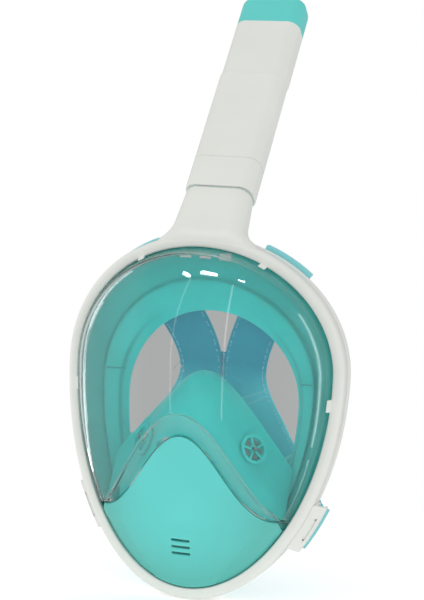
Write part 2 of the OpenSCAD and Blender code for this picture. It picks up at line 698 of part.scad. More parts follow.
// The pocket's front slopes back from the frame to its outer edge
function clip_front(n) = clip_d0 - clip_slope * (n + fit) / (clip_out - fit);
module lower_clip() {
    // A channel open to the back
    outer = clip_wall - clip_out;
    inner = -fit - clip_wall;
    ring_arc([[-clip_out, clip_d1], [-clip_out, clip_front(-clip_out)], [-fit, clip_d0], [-fit, clip_d1],
        [inner, clip_d1], [inner, clip_front(inner) + clip_base],
        [outer, clip_front(outer) + clip_base], [outer, clip_d1]], clip_to, clip_from);
}
module lower_clip_right() color(white) lower_clip();
module lower_clip_left() color(white) mirror_x() lower_clip();

// Strap hooks: lower ones push into the clips, upper ones sit on the rear ring's pegs
lower_hook_d = clip_d1 + hook_gap;
upper_hook_d = ring_d + hook_gap;
hook_out = 3;
hook_over = 1.2;
hook_in = 14;
hook_reach = 9;
hook_a = 10.5;
module lower_hook() {
    // A plate that reaches in behind the frame, with a prong that fills the clip's channel
    far = -clip_out - hook_over;
    outer = clip_wall + hook_gap - clip_out;
    inner = -fit - clip_wall - hook_gap;
    tip = clip_base + 2 * hook_gap;
    root = lower_hook_d - hook_gap / 2;
    ring_arc([[far, lower_hook_d + hook_t], [far, lower_hook_d], [outer, root],
        [outer, clip_front(outer) + tip], [inner, clip_front(inner) + tip], [inner, root],
        [hook_reach, lower_hook_d], [hook_reach, lower_hook_d + hook_t]], clip_to + 1, clip_from - 1);
}
module upper_hook() {
    difference() {
        ring_arc(block(-hook_out, hook_in, upper_hook_d, upper_hook_d + hook_t),
            peg_a - hook_a, peg_a + hook_a);
        translate(rim_pt(peg_a, peg_n, 0)) rotate([-90, 0, 0])
            cylinder(d = peg_d + 2 * hook_gap, h = 2 * ring_d);
    }
}
module upper_hook_right() color(cyan) upper_hook();
module upper_hook_left() color(cyan) mirror_x() upper_hook();
module lower_hook_right() color(cyan) lower_hook();
module lower_hook_left() color(cyan) mirror_x() lower_hook();

// Strap: each band of webbing runs from an upper hook past the middle to a lower hook
web_rest = web_t / 2 + 3 * fit;
band_top = rim_pt(peg_a, hook_in - 3, upper_hook_d + hook_t + web_rest);
band_low = rim_pt(clip_mid, hook_reach / 3, lower_hook_d + hook_t + web_rest);
turn_x = 34;
turn_z = 2;
turn_in = 4;
band_mid = [web_w / 2 + web_t / 3, strap_y, strap_z];
pull_up = band_mid + [0, 0, 0.8 * web_w];
pull_top = band_top + web_w * [-0.33, 0.4, -0.6];
pull_low = band_mid - [0, 0, 0.53 * web_w];
lower_turn = [turn_x, strap_y - turn_in, turn_z];
function bezier(a, b, c, d, f) = let (g = 1 - f)
    g * g * g * a + 3 * f * g * g * b + 3 * f * f * g * c + f * f * f * d;
function band_line() = concat(
    [for (f = [0 : 0.125 : 1]) bezier(band_top, pull_top, pull_up, band_mid, f)],
    [for (f = [0.2 : 0.2 : 1]) bezier(band_mid, pull_low, mix(lower_turn, band_low, -0.15), lower_turn, f)],
    [for (f = [0.25 : 0.25 : 1]) mix(lower_turn, band_low, f)]);
function along(p, i) = unit(p[min(len(p) - 1, i + 1)] - p[max(0, i - 1)]);
// The webbing lies flat on each hook and turns level between them
function rim_back(t) = let (o = rim_out(t), ahead = rim_pt(t - 1, 0, 0) - rim_pt(t + 1, 0, 0))
    unit(cross([o[0], 0, o[1]], ahead));
function lie(i, n) = let (f = i / (n - 1), flat = pow(1 - 2 * min(f, 1 - f), 10))
    mix([0, 1, 0], rim_back(f < 0.5 ? peg_a : clip_mid), flat);
function across(p, i) = unit(cross(along(p, i), lie(i, len(p))));
module band() {
    p = band_line();
    rows = [for (k = [-1, 0, 1]) [for (i = [0 : len(p) - 1])
        p[i] + across(p, i) * k * web_w / 2 - lie(i, len(p)) * web_t / 2]];
    skin(rows, web_t);
}
module strap_band_right() color(blue) band();
module strap_band_left() color(blue) mirror_x() band();

// Patch sewn over both bands at the middle
patch_w = 46;
patch_h = 26;
patch_t = 1.6;
patch_r = 4;
module strap_patch() color(blue) translate([0, strap_y + web_t / 2 + fit, strap_z]) rotate([-90, 0, 0])
    linear_extrude(patch_t) offset(r = patch_r)
        square([patch_w - 2 * patch_r, patch_h - 2 * patch_r], center = true);

// Sliders on the straight lower stretch of each band
slider_f = 0.42;
slider_l = 12;
slider_rim = 3.5;
slider_t = 2;
arm_dir = unit(band_low - lower_turn);
arm_side = unit(cross(arm_dir, [0, 1, 0]));
arm_out = cross(arm_side, arm_dir);
module on_arm() {
    c = mix(lower_turn, band_low, slider_f);
    multmatrix([[arm_side[0], arm_out[0], arm_dir[0], c[0]], [arm_side[1], arm_out[1], arm_dir[1], c[1]],
        [arm_side[2], arm_out[2], arm_dir[2], c[2]], [0, 0, 0, 1]]) children();
}
module slider() {
    on_arm() difference() {
        cube([web_w + 2 * slider_rim, web_t + 2 * slider_t, slider_l], center = true);
        cube([web_w + 3 * hook_gap, web_t + 2 * hook_gap, 2 * slider_l], center = true);
    }
}
module strap_slider_right() color(cyan) slider();
module strap_slider_left() color(cyan) mirror_x() slider();

frame();
air_spigot();
rear_ring();
lens();
chin_cover();
face_skirt();
nose_cup();
inhale_seat_left();
inhale_seat_right();
inhale_flap_left();
inhale_flap_right();
purge_seat();
purge_flap();
tube_gasket();
tube_latch();
exhale_flap_left();
exhale_flap_right();
tube_base();
snorkel_tube();
float_housing();
float_cage();
float_seat();
top_cap();
float_left();
float_right();
lower_clip_left();
lower_clip_right();
upper_hook_left();
upper_hook_right();
lower_hook_left();
lower_hook_right();
strap_band_left();
strap_band_right();
strap_patch();
strap_slider_left();
strap_slider_right();
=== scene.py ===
"""Full face snorkel mask: the finished look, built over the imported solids."""

import math

import bmesh
import bpy
import numpy as np
from bpy.props import FloatProperty, FloatVectorProperty, PointerProperty
from mathutils import Matrix, Vector
from mathutils.kdtree import KDTree


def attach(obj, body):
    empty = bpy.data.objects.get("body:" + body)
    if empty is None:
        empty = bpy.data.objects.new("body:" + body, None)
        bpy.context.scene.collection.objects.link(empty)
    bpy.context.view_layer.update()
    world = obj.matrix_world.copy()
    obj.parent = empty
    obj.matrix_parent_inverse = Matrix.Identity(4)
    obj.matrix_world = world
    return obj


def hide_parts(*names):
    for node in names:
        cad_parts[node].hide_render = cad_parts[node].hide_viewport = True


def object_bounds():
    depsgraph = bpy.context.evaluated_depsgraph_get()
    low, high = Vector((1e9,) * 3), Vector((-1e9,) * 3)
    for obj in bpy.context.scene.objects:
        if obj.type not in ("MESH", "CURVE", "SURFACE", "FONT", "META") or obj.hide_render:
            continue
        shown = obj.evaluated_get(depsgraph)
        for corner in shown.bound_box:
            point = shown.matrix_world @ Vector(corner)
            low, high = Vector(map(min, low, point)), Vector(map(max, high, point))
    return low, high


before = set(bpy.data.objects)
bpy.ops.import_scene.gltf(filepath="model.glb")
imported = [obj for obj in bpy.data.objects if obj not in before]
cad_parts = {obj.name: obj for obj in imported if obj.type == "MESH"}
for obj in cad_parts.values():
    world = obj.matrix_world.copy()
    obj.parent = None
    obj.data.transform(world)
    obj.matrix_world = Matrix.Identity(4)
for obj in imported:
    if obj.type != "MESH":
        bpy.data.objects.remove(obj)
CAD_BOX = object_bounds()

bl_info = {
    "name": "Full Face Snorkel Mask",
    "version": (1, 0, 0),
    "blender": (4, 5, 0),
    "location": "View3D > Sidebar > Snorkel Mask",
    "description": "Builds a full face snorkel mask with its tube, valves and strap",
    "category": "Add Mesh",
}

MM = 0.001
# The wearer's two sides, and what turns a form of the right side into one of the left
SIDES = (("right", np.array([1, 1, 1])), ("left", np.array([-1, 1, 1])))
# Sockets of a node that mixes colours: the share, both colours, and the colour that it gives
SHARE, FIRST, SECOND, MIXED = 0, 6, 7, 2


def linear(code):
    """An sRGB hex colour as linear red, green and blue."""
    parts = [int(code[i : i + 2], 16) / 255 for i in (0, 2, 4)]
    return tuple(c / 12.92 if c <= 0.04045 else ((c + 0.055) / 1.055) ** 2.4 for c in parts)


def length(name, description, default):
    """A length property that is given in millimetres and kept in metres."""
    return FloatProperty(name=name, description=description, default=default * MM, unit="LENGTH")


def colour(name, description, code):
    """A colour property that is given as an sRGB hex value."""
    return FloatVectorProperty(
        name=name, description=description, default=linear(code), size=3, min=0, max=1,
        subtype="COLOR",
    )


class MaskSizes(bpy.types.PropertyGroup):
    """Sizes of the mask's mouldings"""

    ring_half: length("Frame half width", "Half the width of the frame", 96)
    ring_top: length("Frame top", "Widest level of the frame up to its top", 88.5)
    ring_bottom: length("Frame bottom", "Widest level of the frame down to its bottom", 151.5)
    ring_wide_z: length("Frame widest level", "Height of the frame's widest level", 47.5)
    ring_sweep: length("Frame sweep", "How far the frame's sides sweep back", 15)
    face_depth: length("Frame front", "Front of the frame ahead of the face opening", 36)
    ring_d: length("Frame depth", "Depth of the frame from front to back", 20)
    ring_round: length("Frame rounding", "Radius of the frame's front outer edge", 4)
    lip_w: length("Lip width", "Width of the frame's front lip", 7.4)
    lip_t: length("Lip thickness", "Thickness of the frame's front lip", 3.6)
    wall_t: length("Frame wall", "Thickness of the frame's outer wall", 2.8)
    lens_t: length("Lens thickness", "Thickness of the clear lens", 2.4)
    edge_n: length("Lens wall width", "Frame's contour to the edge of the window", 13.8)
    edge_d: length("Lens wall height", "Height of the lens wall in front of the frame", 12)
    edge_low: length("Lens corner height", "Height of the lens wall at its lower corners", 6)
    window_y: length("Window front", "Front of the window ahead of the face opening", 68)
    window_z: length("Window middle", "Height of the window's middle", 58)
    chin_top_z: length("Chin cover top", "Height of the top of the chin cover", 7.3)
    chin_top_y: length("Chin cover front", "Top of the chin cover ahead of the face opening", 58.7)
    chin_bulge: length("Chin cover bulge", "How far the chin cover bulges", 6)
    cover_t: length("Chin cover thickness", "Thickness of the chin cover", 2)
    step_h: length("Clear step", "Height of the clear step above the chin cover", 15)
    open_half: length("Opening half width", "Half the width of the face opening", 60)
    open_top: length("Opening top", "Top of the face opening above its middle", 85)
    open_bottom: length("Opening bottom", "Bottom of the face opening below its middle", 84)
    skirt_t: length("Skirt thickness", "Thickness of the skirt's wall", 2.2)
    nose_z: length("Nose cup bridge", "Height of the nose cup's bridge", 45.5)
    nose_t: length("Nose cup thickness", "Thickness of the nose cup", 2)
    tube_w: length("Tube width", "Width of the tube", 47.2)
    tube_dep: length("Tube depth", "Depth of the tube from front to back", 24.4)
    tube_round: length("Tube corners", "Radius of the corners of the tube's section", 9)
    web_w: length("Webbing width", "Width of the strap's webbing", 30)
    web_t: length("Webbing thickness", "Thickness of the strap's webbing", 1.8)
    corner_a: FloatProperty(
        name="Lens corner", description="Place of the lens's lower corners on the frame",
        default=math.radians(41), subtype="ANGLE",
    )
    tube_lean: FloatProperty(
        name="Tube lean", description="Lean of the tube from upright",
        default=math.radians(38), subtype="ANGLE",
    )


class MaskColours(bpy.types.PropertyGroup):
    """Colours of the mask's materials"""

    white: colour("White ABS", "Frame, tube and clips", "EBEDE7")
    mint: colour("Mint ABS", "Chin cover and cap", "62D9D3")
    teal: colour("Teal silicone", "Skirt and nose cup", "3FD2CE")
    cyan: colour("Cyan acetal", "Strap hooks and sliders", "8ADADF")
    webbing: colour("Webbing", "Polyester strap", "24A6C2")
    thread: colour("Thread", "Strap stitching", "D5E8F2")
    clear: colour("Polycarbonate", "Tint of the clear lens", "F4FBFA")
    deep: colour("Polycarbonate wall", "Tone of the lens's wall", "C2E6E2")
    milky: colour("Clear silicone", "Valve flaps", "8FBDBA")
    pale: colour("Pale silicone", "Gasket under the tube", "DDE8E4")
    floor: colour("Studio floor", "Pale floor", "F8F8F8")


def add(tree, kind, inputs=None, **settings):
    """Adds a node, sets its own settings, and fills or links its inputs."""
    node = tree.nodes.new(kind)
    for name, value in settings.items():
        setattr(node, name, value)
    for name, value in (inputs or {}).items():
        if isinstance(value, bpy.types.NodeSocket):
            tree.links.new(value, node.inputs[name])
        else:
            node.inputs[name].default_value = value
    return node


def new_material(name):
    """An empty node material with its output and a position in metres."""
    material = bpy.data.materials.new(name)
    material.use_nodes = True
    tree = material.node_tree
    tree.nodes.clear()
    place = add(tree, "ShaderNodeTexCoord").outputs["Object"]
    return material, tree, place


def shaded(material, tree, inputs):
    """Closes a material with one principled shader."""
    shader = add(tree, "ShaderNodeBsdfPrincipled", inputs)
    add(tree, "ShaderNodeOutputMaterial", {"Surface": shader.outputs[0]})
    return material


def rgba(colour_value, gain=1.0):
    """A colour with full opacity, made lighter or darker by gain."""
    return tuple(min(1.0, c * gain) for c in colour_value) + (1.0,)


def per_mm(size):
    """Texture scale for a feature of this size in millimetres."""
    return 1.0 / (size * MM)


def moulded_abs(name, base, rough, grain, ior=1.53):
    """Injection moulded ABS: satin from the mould's eroded skin, drawn lighter on edges."""
    material, tree, place = new_material(name)
    cloud = add(tree, "ShaderNodeTexNoise", {"Vector": place, "Scale": per_mm(45), "Detail": 3.0})
    tone = add(tree, "ShaderNodeMix", {
        SHARE: cloud.outputs["Fac"], FIRST: rgba(base, 0.93), SECOND: rgba(base, 1.04)},
        data_type="RGBA")
    # Edges are drawn a little lighter
    edge = add(tree, "ShaderNodeMapRange", {
        "Value": add(tree, "ShaderNodeNewGeometry").outputs["Pointiness"],
        "From Min": 0.55, "From Max": 0.65, "To Min": 0.0, "To Max": 0.3})
    edged_tone = add(tree, "ShaderNodeMix", {
        SHARE: edge.outputs[0], FIRST: tone.outputs[MIXED], SECOND: rgba(base, 1.25)},
        data_type="RGBA")
    # Painted shade: a cover is drawn duller and greener where it dips behind the ring holding it
    shaded_dip = add(tree, "ShaderNodeAttribute", attribute_name="shaded_dip")
    ring_shaded = add(tree, "ShaderNodeMix", {
        SHARE: shaded_dip.outputs["Fac"], FIRST: edged_tone.outputs[MIXED], SECOND: rgba(linear("F0E3DE"))},
        data_type="RGBA", blend_type="MULTIPLY")
    # The mould's grain is about 0.1 mm and is drawn at 0.5 mm so that it shows
    skin = add(tree, "ShaderNodeTexNoise", {"Vector": place, "Scale": per_mm(0.5), "Detail": 2.0})
    smear = add(tree, "ShaderNodeTexNoise", {"Vector": place, "Scale": per_mm(18), "Detail": 4.0})
    gloss = add(tree, "ShaderNodeMapRange", {
        "Value": smear.outputs["Fac"], "From Min": 0.3, "From Max": 0.7,
        "To Min": rough - 0.06, "To Max": rough + 0.08})
    bump = add(tree, "ShaderNodeBump", {
        "Height": skin.outputs["Fac"], "Strength": grain, "Distance": 0.05 * MM})
    return shaded(material, tree, {
        "Base Color": ring_shaded.outputs[MIXED], "Roughness": gloss.outputs[0],
        "Normal": bump.outputs[0], "IOR": ior})


def clear_polycarbonate(name, tint, deep):
    """Moulded polycarbonate: clear and glossy, deeper in tone along its wall, faintly rippled."""
    material, tree, place = new_material(name)
    flow = add(tree, "ShaderNodeTexNoise", {"Vector": place, "Scale": per_mm(60), "Detail": 1.0})
    bump = add(tree, "ShaderNodeBump", {
        "Height": flow.outputs["Fac"], "Strength": 0.06, "Distance": 0.6 * MM})
    haze = add(tree, "ShaderNodeTexNoise", {"Vector": place, "Scale": per_mm(25), "Detail": 5.0})
    gloss = add(tree, "ShaderNodeMapRange", {
        "Value": haze.outputs["Fac"], "From Min": 0.35, "From Max": 0.75,
        "To Min": 0.0, "To Max": 0.035})
    wall = add(tree, "ShaderNodeAttribute", attribute_name="wall")
    tone = add(tree, "ShaderNodeMix", {
        SHARE: wall.outputs["Fac"], FIRST: rgba(tint), SECOND: rgba(deep)}, data_type="RGBA")
    # A textured patch of the mould scatters part of the light
    frost = add(tree, "ShaderNodeAttribute", attribute_name="frost")
    passed = add(tree, "ShaderNodeMapRange", {
        "Value": frost.outputs["Fac"], "To Min": 1.0, "To Max": 0.94})
    return shaded(material, tree, {
        "Base Color": tone.outputs[MIXED], "Roughness": gloss.outputs[0],
        "Normal": bump.outputs[0], "IOR": 1.585, "Transmission Weight": passed.outputs[0]})


def liquid_silicone(name, base, clear=0.0):
    """Moulded liquid silicone rubber: a soft satin skin that light enters, with a dusty bloom."""
    material, tree, place = new_material(name)
    cloud = add(tree, "ShaderNodeTexNoise", {"Vector": place, "Scale": per_mm(30), "Detail": 4.0})
    tone = add(tree, "ShaderNodeMix", {
        SHARE: cloud.outputs["Fac"], FIRST: rgba(base, 0.86), SECOND: rgba(base, 1.1)},
        data_type="RGBA")
    # Painted light and shade: lighter on thin lit lips, darker on thick corners, steps and ribs
    light_and_shade = add(tree, "ShaderNodeAttribute", attribute_name="light_and_shade")
    gain = add(tree, "ShaderNodeMath", {0: light_and_shade.outputs["Fac"], 1: 1.0}, operation="ADD")
    lit = add(tree, "ShaderNodeHueSaturation", {
        "Color": tone.outputs[MIXED], "Value": gain.outputs[0]})
    # The bloom is finer than a hair and is drawn at 0.8 mm so that it shows
    dust = add(tree, "ShaderNodeTexNoise", {"Vector": place, "Scale": per_mm(0.8), "Detail": 3.0})
    gloss = add(tree, "ShaderNodeMapRange", {
        "Value": cloud.outputs["Fac"], "From Min": 0.3, "From Max": 0.7,
        "To Min": 0.34, "To Max": 0.5})
    bump = add(tree, "ShaderNodeBump", {
        "Height": dust.outputs["Fac"], "Strength": 0.12, "Distance": 0.08 * MM})
    return shaded(material, tree, {
        "Base Color": lit.outputs[0], "Roughness": gloss.outputs[0], "Normal": bump.outputs[0],
        "IOR": 1.41, "Subsurface Weight": 0.25, "Subsurface Scale": 4 * MM,
        "Sheen Weight": 0.12, "Sheen Roughness": 0.4, "Transmission Weight": clear})


def woven_polyester(name, base):
    """Narrow woven polyester webbing: ribs across the strap, a thread's sheen, paler crowns."""
    material, tree, _ = new_material(name)
    uv = add(tree, "ShaderNodeUVMap", uv_map="cloth").outputs[0]
    # The map is in millimetres; ends are 1.2 mm apart and picks 1.6 mm, as coarse as the view needs
    across = add(tree, "ShaderNodeSeparateXYZ", {0: uv})
    waves = []
    for axis, pitch in ((0, 1.2), (1, 1.6)):
        turn = add(tree, "ShaderNodeMath", {
            0: across.outputs[axis], 1: 2 * math.pi / pitch}, operation="MULTIPLY")
        waves.append(add(tree, "ShaderNodeMath", {0: turn.outputs[0]}, operation="SINE").outputs[0])
    weave = add(tree, "ShaderNodeMath", {0: waves[0], 1: waves[1]}, operation="MULTIPLY")
    height = add(tree, "ShaderNodeMapRange", {
        "Value": weave.outputs[0], "From Min": -1.0, "From Max": 1.0})
    # Patches of worn fuzz about 3 mm wide
    fuzz = add(tree, "ShaderNodeTexNoise", {"Vector": uv, "Scale": 0.35, "Detail": 4.0})
    # Painted shade in the weave's hollows and painted light on its crowns
    thread = add(tree, "ShaderNodeMix", {
        SHARE: height.outputs[0], FIRST: rgba(base, 0.72), SECOND: rgba(base, 1.15)},
        data_type="RGBA")
    tone = add(tree, "ShaderNodeMix", {
        SHARE: fuzz.outputs["Fac"], FIRST: thread.outputs[MIXED], SECOND: rgba(base, 0.9)},
        data_type="RGBA")
    # Painted light: the lower arms are drawn paler and lighter than the rest of the webbing
    arm_light_share = add(tree, "ShaderNodeAttribute", attribute_name="stretch").outputs["Fac"]
    shift = {}
    for socket, plain, brightened in (
            ("Hue", 0.5, 0.478), ("Saturation", 1.0, 0.885), ("Value", 1.0, 1.4)):
        shift[socket] = add(tree, "ShaderNodeMapRange", {
            "Value": arm_light_share, "To Min": plain, "To Max": brightened}).outputs[0]
    pale = add(tree, "ShaderNodeHueSaturation", {"Color": tone.outputs[MIXED], **shift})
    bump = add(tree, "ShaderNodeBump", {
        "Height": height.outputs[0], "Strength": 0.5, "Distance": 0.25 * MM})
    return shaded(material, tree, {
        "Base Color": pale.outputs[0], "Roughness": 0.62, "Normal": bump.outputs[0],
        "IOR": 1.55, "Sheen Weight": 0.35, "Sheen Roughness": 0.35})


def bonded_nylon(name, base):
    """Bonded nylon sewing thread: twisted plies with a dull shine."""
    material, tree, place = new_material(name)
    twist = add(tree, "ShaderNodeTexWave", {
        "Vector": place, "Scale": per_mm(3.0), "Distortion": 1.0})
    # Painted shade in the grooves between plies and painted light on their crowns
    tone = add(tree, "ShaderNodeMix", {
        SHARE: twist.outputs["Fac"], FIRST: rgba(base, 0.75), SECOND: rgba(base, 1.05)},
        data_type="RGBA")
    bump = add(tree, "ShaderNodeBump", {
        "Height": twist.outputs["Fac"], "Strength": 0.3, "Distance": 0.1 * MM})
    return shaded(material, tree, {
        "Base Color": tone.outputs[MIXED], "Roughness": 0.5, "Normal": bump.outputs[0],
        "IOR": 1.53})


def stainless_steel(name):
    """Turned stainless steel: bright, with a soft blur from fine tool marks."""
    material, tree, place = new_material(name)
    marks = add(tree, "ShaderNodeTexNoise", {"Vector": place, "Scale": per_mm(1.5), "Detail": 3.0})
    gloss = add(tree, "ShaderNodeMapRange", {
        "Value": marks.outputs["Fac"], "To Min": 0.22, "To Max": 0.42})
    tone = add(tree, "ShaderNodeMix", {
        SHARE: marks.outputs["Fac"], FIRST: rgba(linear("A9ADB0")),
        SECOND: rgba(linear("C4C8CA"))}, data_type="RGBA")
    return shaded(material, tree, {
        "Base Color": tone.outputs[MIXED], "Roughness": gloss.outputs[0], "Metallic": 1.0})


def opal_acrylic(name, base):
    """Cast opal acrylic of a light table: matt, lit from below so that only soft shadows show."""
    material, tree, place = new_material(name)
    cloud = add(tree, "ShaderNodeTexNoise", {"Vector": place, "Scale": per_mm(80), "Detail": 2.0})
    tone = add(tree, "ShaderNodeMix", {
        SHARE: cloud.outputs["Fac"], FIRST: rgba(base, 0.985), SECOND: rgba(base)},
        data_type="RGBA")
    return shaded(material, tree, {
        "Base Color": tone.outputs[MIXED], "Roughness": 0.7, "IOR": 1.49,
        "Emission Color": rgba(base), "Emission Strength": 0.32})


MADE = {}


def finish_of(name):
    """The material of that name, made on first use from the scene's colours."""
    c = bpy.context.scene.mask_colours
    # Acetal is moulded as ABS is, and its skin is a little glossier
    makers = {
        "white_abs": lambda: moulded_abs("white_abs", c.white, 0.36, 0.10),
        "mint_abs": lambda: moulded_abs("mint_abs", c.mint, 0.37, 0.08),
        "teal_abs": lambda: moulded_abs("teal_abs", c.teal, 0.36, 0.10),
        "cyan_acetal": lambda: moulded_abs("cyan_acetal", c.cyan, 0.34, 0.12, 1.48),
        "polycarbonate": lambda: clear_polycarbonate("polycarbonate", c.clear, c.deep),
        "teal_silicone": lambda: liquid_silicone("teal_silicone", c.teal),
        "flap_silicone": lambda: liquid_silicone("flap_silicone", c.milky, 0.6),
        "pale_silicone": lambda: liquid_silicone("pale_silicone", c.pale, 0.2),
        "webbing": lambda: woven_polyester("webbing", c.webbing),
        "thread": lambda: bonded_nylon("thread", c.thread),
        "steel": lambda: stainless_steel("steel"),
        "floor": lambda: opal_acrylic("floor", c.floor),
    }
    if name not in MADE:
        MADE[name] = makers[name]()
    return MADE[name]


def mix(a, b, f):
    """The point or value a share f of the way from a to b."""
    return a + (b - a) * f


def column(*parts):
    """Points from their coordinates, spread to one length."""
    return np.stack(np.broadcast_arrays(*parts), -1).astype(float)


def unit(v):
    """Vectors of length one."""
    return v / np.linalg.norm(v, axis=-1, keepdims=True)


class Shape:
    """The mask's curves and surfaces, in millimetres, from the scene's sizes."""

    # Play between fitted parts, and the skirt's bead: its thickness and how far in it reaches
    fit, bead_t, bead_n = 0.15, 4.0, 10.6
    # How slender the bell curves are: the chin cover's top edge and the ridge above it
    chin_sharp, ridge_sharp = 1.25, 0.62
    # The face opening: its widest level, the sweep of its sides and its top ahead of the face
    open_wide, open_sweep, open_front = 24.5, 8.0, 6.0
    # The nose cup: its bridge's radius, slope and arch, and its rear edge ahead of the face
    nose_round, nose_slope, nose_arch, nose_back = 18.0, 1.3, 14.0, 9.0
    # The shares of the nose cup and the chin cover where their valves sit
    inhale_at, drain_at = (0.6, 0.47), (0.0, 0.72)
    # Levels along the tube: the latch, the neck's shoulder, the spigot's end, the flaps' hinges
    latch_s, shoulder_s, spigot_s, hinge_s = 17.875, 31.5, 54.5, 55.05
    # Across the tube: the neck's set-back, and places of the partitions and the flaps' hinges
    neck_step, part_x, hinge_x = 1.1, 8.5, 9.7
    # The strap: its sewn middle, and the pegs and clips that hold it round the frame
    strap_y, strap_z, peg_a, clip_a = 24.0, 42.0, 57.0, -40.25

    def __init__(self, sizes):
        for name in sizes.__annotations__:
            value = getattr(sizes, name)
            angle = name in ("corner_a", "tube_lean")
            setattr(self, name, math.degrees(value) if angle else value / MM)
        # Depths and widths of the groove that clamps the lens and the skirt's bead
        self.flange_d = self.lip_t + self.fit
        self.bead_d = self.flange_d + self.lens_t + self.fit
        self.seat_n = self.wall_t + self.fit
        self.tube_at = np.array(
            [0, self.ring_sweep - self.face_depth, self.ring_wide_z + self.ring_top])
        # The lower corners of the lens, on the frame and on the ridge above the chin
        self.corner = self.rim(-self.corner_a, self.lip_w + 2.6, 0)
        self.ridge_end = self.flat(-self.corner_a, self.edge_n)
        # How strongly the window bends to its sides, its top and its lower corners
        front = self.window_y - self.edge_d
        self.bend_side = (front + self.rim_y(0.0)) / (self.ring_half - self.edge_n) ** 2
        up = self.tube_at[2] - self.edge_n - self.window_z
        self.bend_top = (front + self.rim_y(90.0)) / up**2
        low = self.window_y - self.edge_low + self.rim_y(self.corner_a)
        low -= self.bend_side * self.ridge_end[0] ** 2
        self.bend_low = low / (self.ridge_end[1] - self.window_z) ** 2

    def rim_y(self, t):
        """Depth of the frame's front at an angle."""
        return self.ring_sweep * np.cos(np.radians(t)) ** 2 - self.face_depth

    def outward(self, t):
        """Direction out of the frame's contour, across and up."""
        a = np.radians(t)
        up = np.where(np.sin(a) >= 0, self.ring_top, self.ring_bottom)
        return unit(column(np.cos(a) / self.ring_half, np.sin(a) / up))

    def flat(self, t, n):
        """A point across and up, n in from the frame's contour."""
        a = np.radians(t)
        up = np.where(np.sin(a) >= 0, self.ring_top, self.ring_bottom)
        edge = column(self.ring_half * np.cos(a), self.ring_wide_z + up * np.sin(a))
        return edge - np.asarray(n)[..., None] * self.outward(t)

    def rim(self, t, n, d):
        """A point n in from the frame's contour and d back from its front."""
        p = self.flat(t, n)
        return column(p[..., 0], self.rim_y(t) + d, p[..., 1])

    def window(self, x, z):
        """The lens's window above a place across and up."""
        bend = np.where(z > self.window_z, self.bend_top, self.bend_low)
        y = self.bend_side * x * x + bend * (z - self.window_z) ** 2 - self.window_y
        return column(x, y, z)

    def bell(self, u, sharp):
        """The bell curve of the chin cover's top edge and of the ridge above it."""
        return np.maximum(0, 0.5 + 0.5 * np.cos(np.pi * u)) ** sharp

    def chin_edge(self, u):
        """The chin cover's top edge, u from -1 to 1."""
        c = self.corner
        return column(c[0] * u, mix(-self.chin_top_y, c[1] - 2, np.abs(u) ** 1.8),
                      mix(c[2], self.chin_top_z, self.bell(u, self.chin_sharp)))

    def ridge(self, u):
        """The ridge at the top of the lens's clear step."""
        top = self.chin_top_z + self.step_h
        return self.window(self.ridge_end[0] * u,
                           mix(self.ridge_end[1], top, self.bell(u, self.ridge_sharp)))

    def tuck(self, u):
        """How far the lens's foot lies behind the chin cover's edge."""
        return (1.25 + 1.6 * u * u) * self.cover_t + 2 * self.fit

    def chin(self, u, f):
        """A point of the chin cover, f from its top edge down to the frame."""
        top, low = self.chin_edge(u), self.rim(mix(-90, -self.corner_a, u), self.lip_w + 1, 1)
        bulge = self.chin_bulge * np.sin(np.pi * f**1.4) * (1 - u * u)
        return mix(top, low, f) - column(0 * bulge, bulge, 0 * bulge)

    def opening(self, t):
        """The edge of the face opening."""
        a = np.radians(t)
        up = np.where(np.sin(a) >= 0, self.open_top - self.open_wide,
                      self.open_bottom + self.open_wide)
        return column(self.open_half * np.cos(a),
                      self.open_sweep * np.cos(a) ** 2 - self.open_front,
                      self.open_wide + up * np.sin(a))

    def skirt(self, t, f, y):
        """A point of the skirt, f from its bead to the face opening and y off the straight line."""
        bead = self.rim(t, self.bead_n, self.bead_d + 1.4)
        return mix(bead, self.opening(t), f) + np.array([0, y, 0])

    def nose(self, u, f):
        """A point of the nose cup, f from the wearer forward."""
        x = u * self.corner[0]
        fall = np.sqrt(x * x + self.nose_round**2) - self.nose_round
        rear = column(x, -self.nose_back, self.nose_z - self.nose_slope * fall)
        behind = self.tuck(u) + 1.5 * self.lens_t + self.fit
        front = self.chin_edge(u) + column(0 * u, behind, 1 + 0 * u)
        arch = self.nose_arch * (1 - u * u) ** 2 * np.sin(np.pi * f)
        return mix(rear, front, f) + column(0 * arch, 0 * arch, arch)

    def on_tube(self, x, y, s):
        """A point across, behind and along the tube's axis."""
        c, n = math.cos(math.radians(self.tube_lean)), math.sin(math.radians(self.tube_lean))
        return self.tube_at + column(x, y * c + s * n, s * c - y * n)

    def tube_section(self, inset, s, soften=0.0):
        """The tube's section at a level, drawn in all round, with its corners softened."""
        x, y, _ = oblong(self.tube_w - 2 * inset, self.tube_dep - 2 * inset,
                         self.tube_round - inset + soften)
        return self.on_tube(x, y, s)


def oblong(w, d, r, long_side=25, short_side=5, corner=12):
    """A rounded rectangle, w across and d deep: places across and deep, and the angles faced."""
    x, y, a = [], [], []
    for sx, sy, start in ((1, 1, 90), (1, -1, 0), (-1, -1, -90), (-1, 1, -180)):
        turn = np.radians(np.linspace(start, start - 90, corner))
        x += list(sx * (w / 2 - r) + r * np.cos(turn))
        y += list(sy * (d / 2 - r) + r * np.sin(turn))
        a += list(turn)
        # The straight side on to the next corner
        if sx == sy:
            run, next_x, next_y = short_side, x[-1], -y[-1]
        else:
            run, next_x, next_y = long_side, -x[-1], y[-1]
        x += list(np.linspace(x[-1], next_x, run + 2)[1:-1])
        y += list(np.linspace(y[-1], next_y, run + 2)[1:-1])
        a += [turn[-1]] * run
    return np.array(x), np.array(y), np.array(a)


def smoothed(rows, times=2):
    """A closed section with its corners cut, again and again, into a soft curve."""
    for _ in range(times):
        after = np.roll(rows, -1, 0)
        pairs = np.stack([mix(rows, after, 0.25), mix(rows, after, 0.75)], 1)
        rows = pairs.reshape(-1, *rows.shape[1:])
    return rows


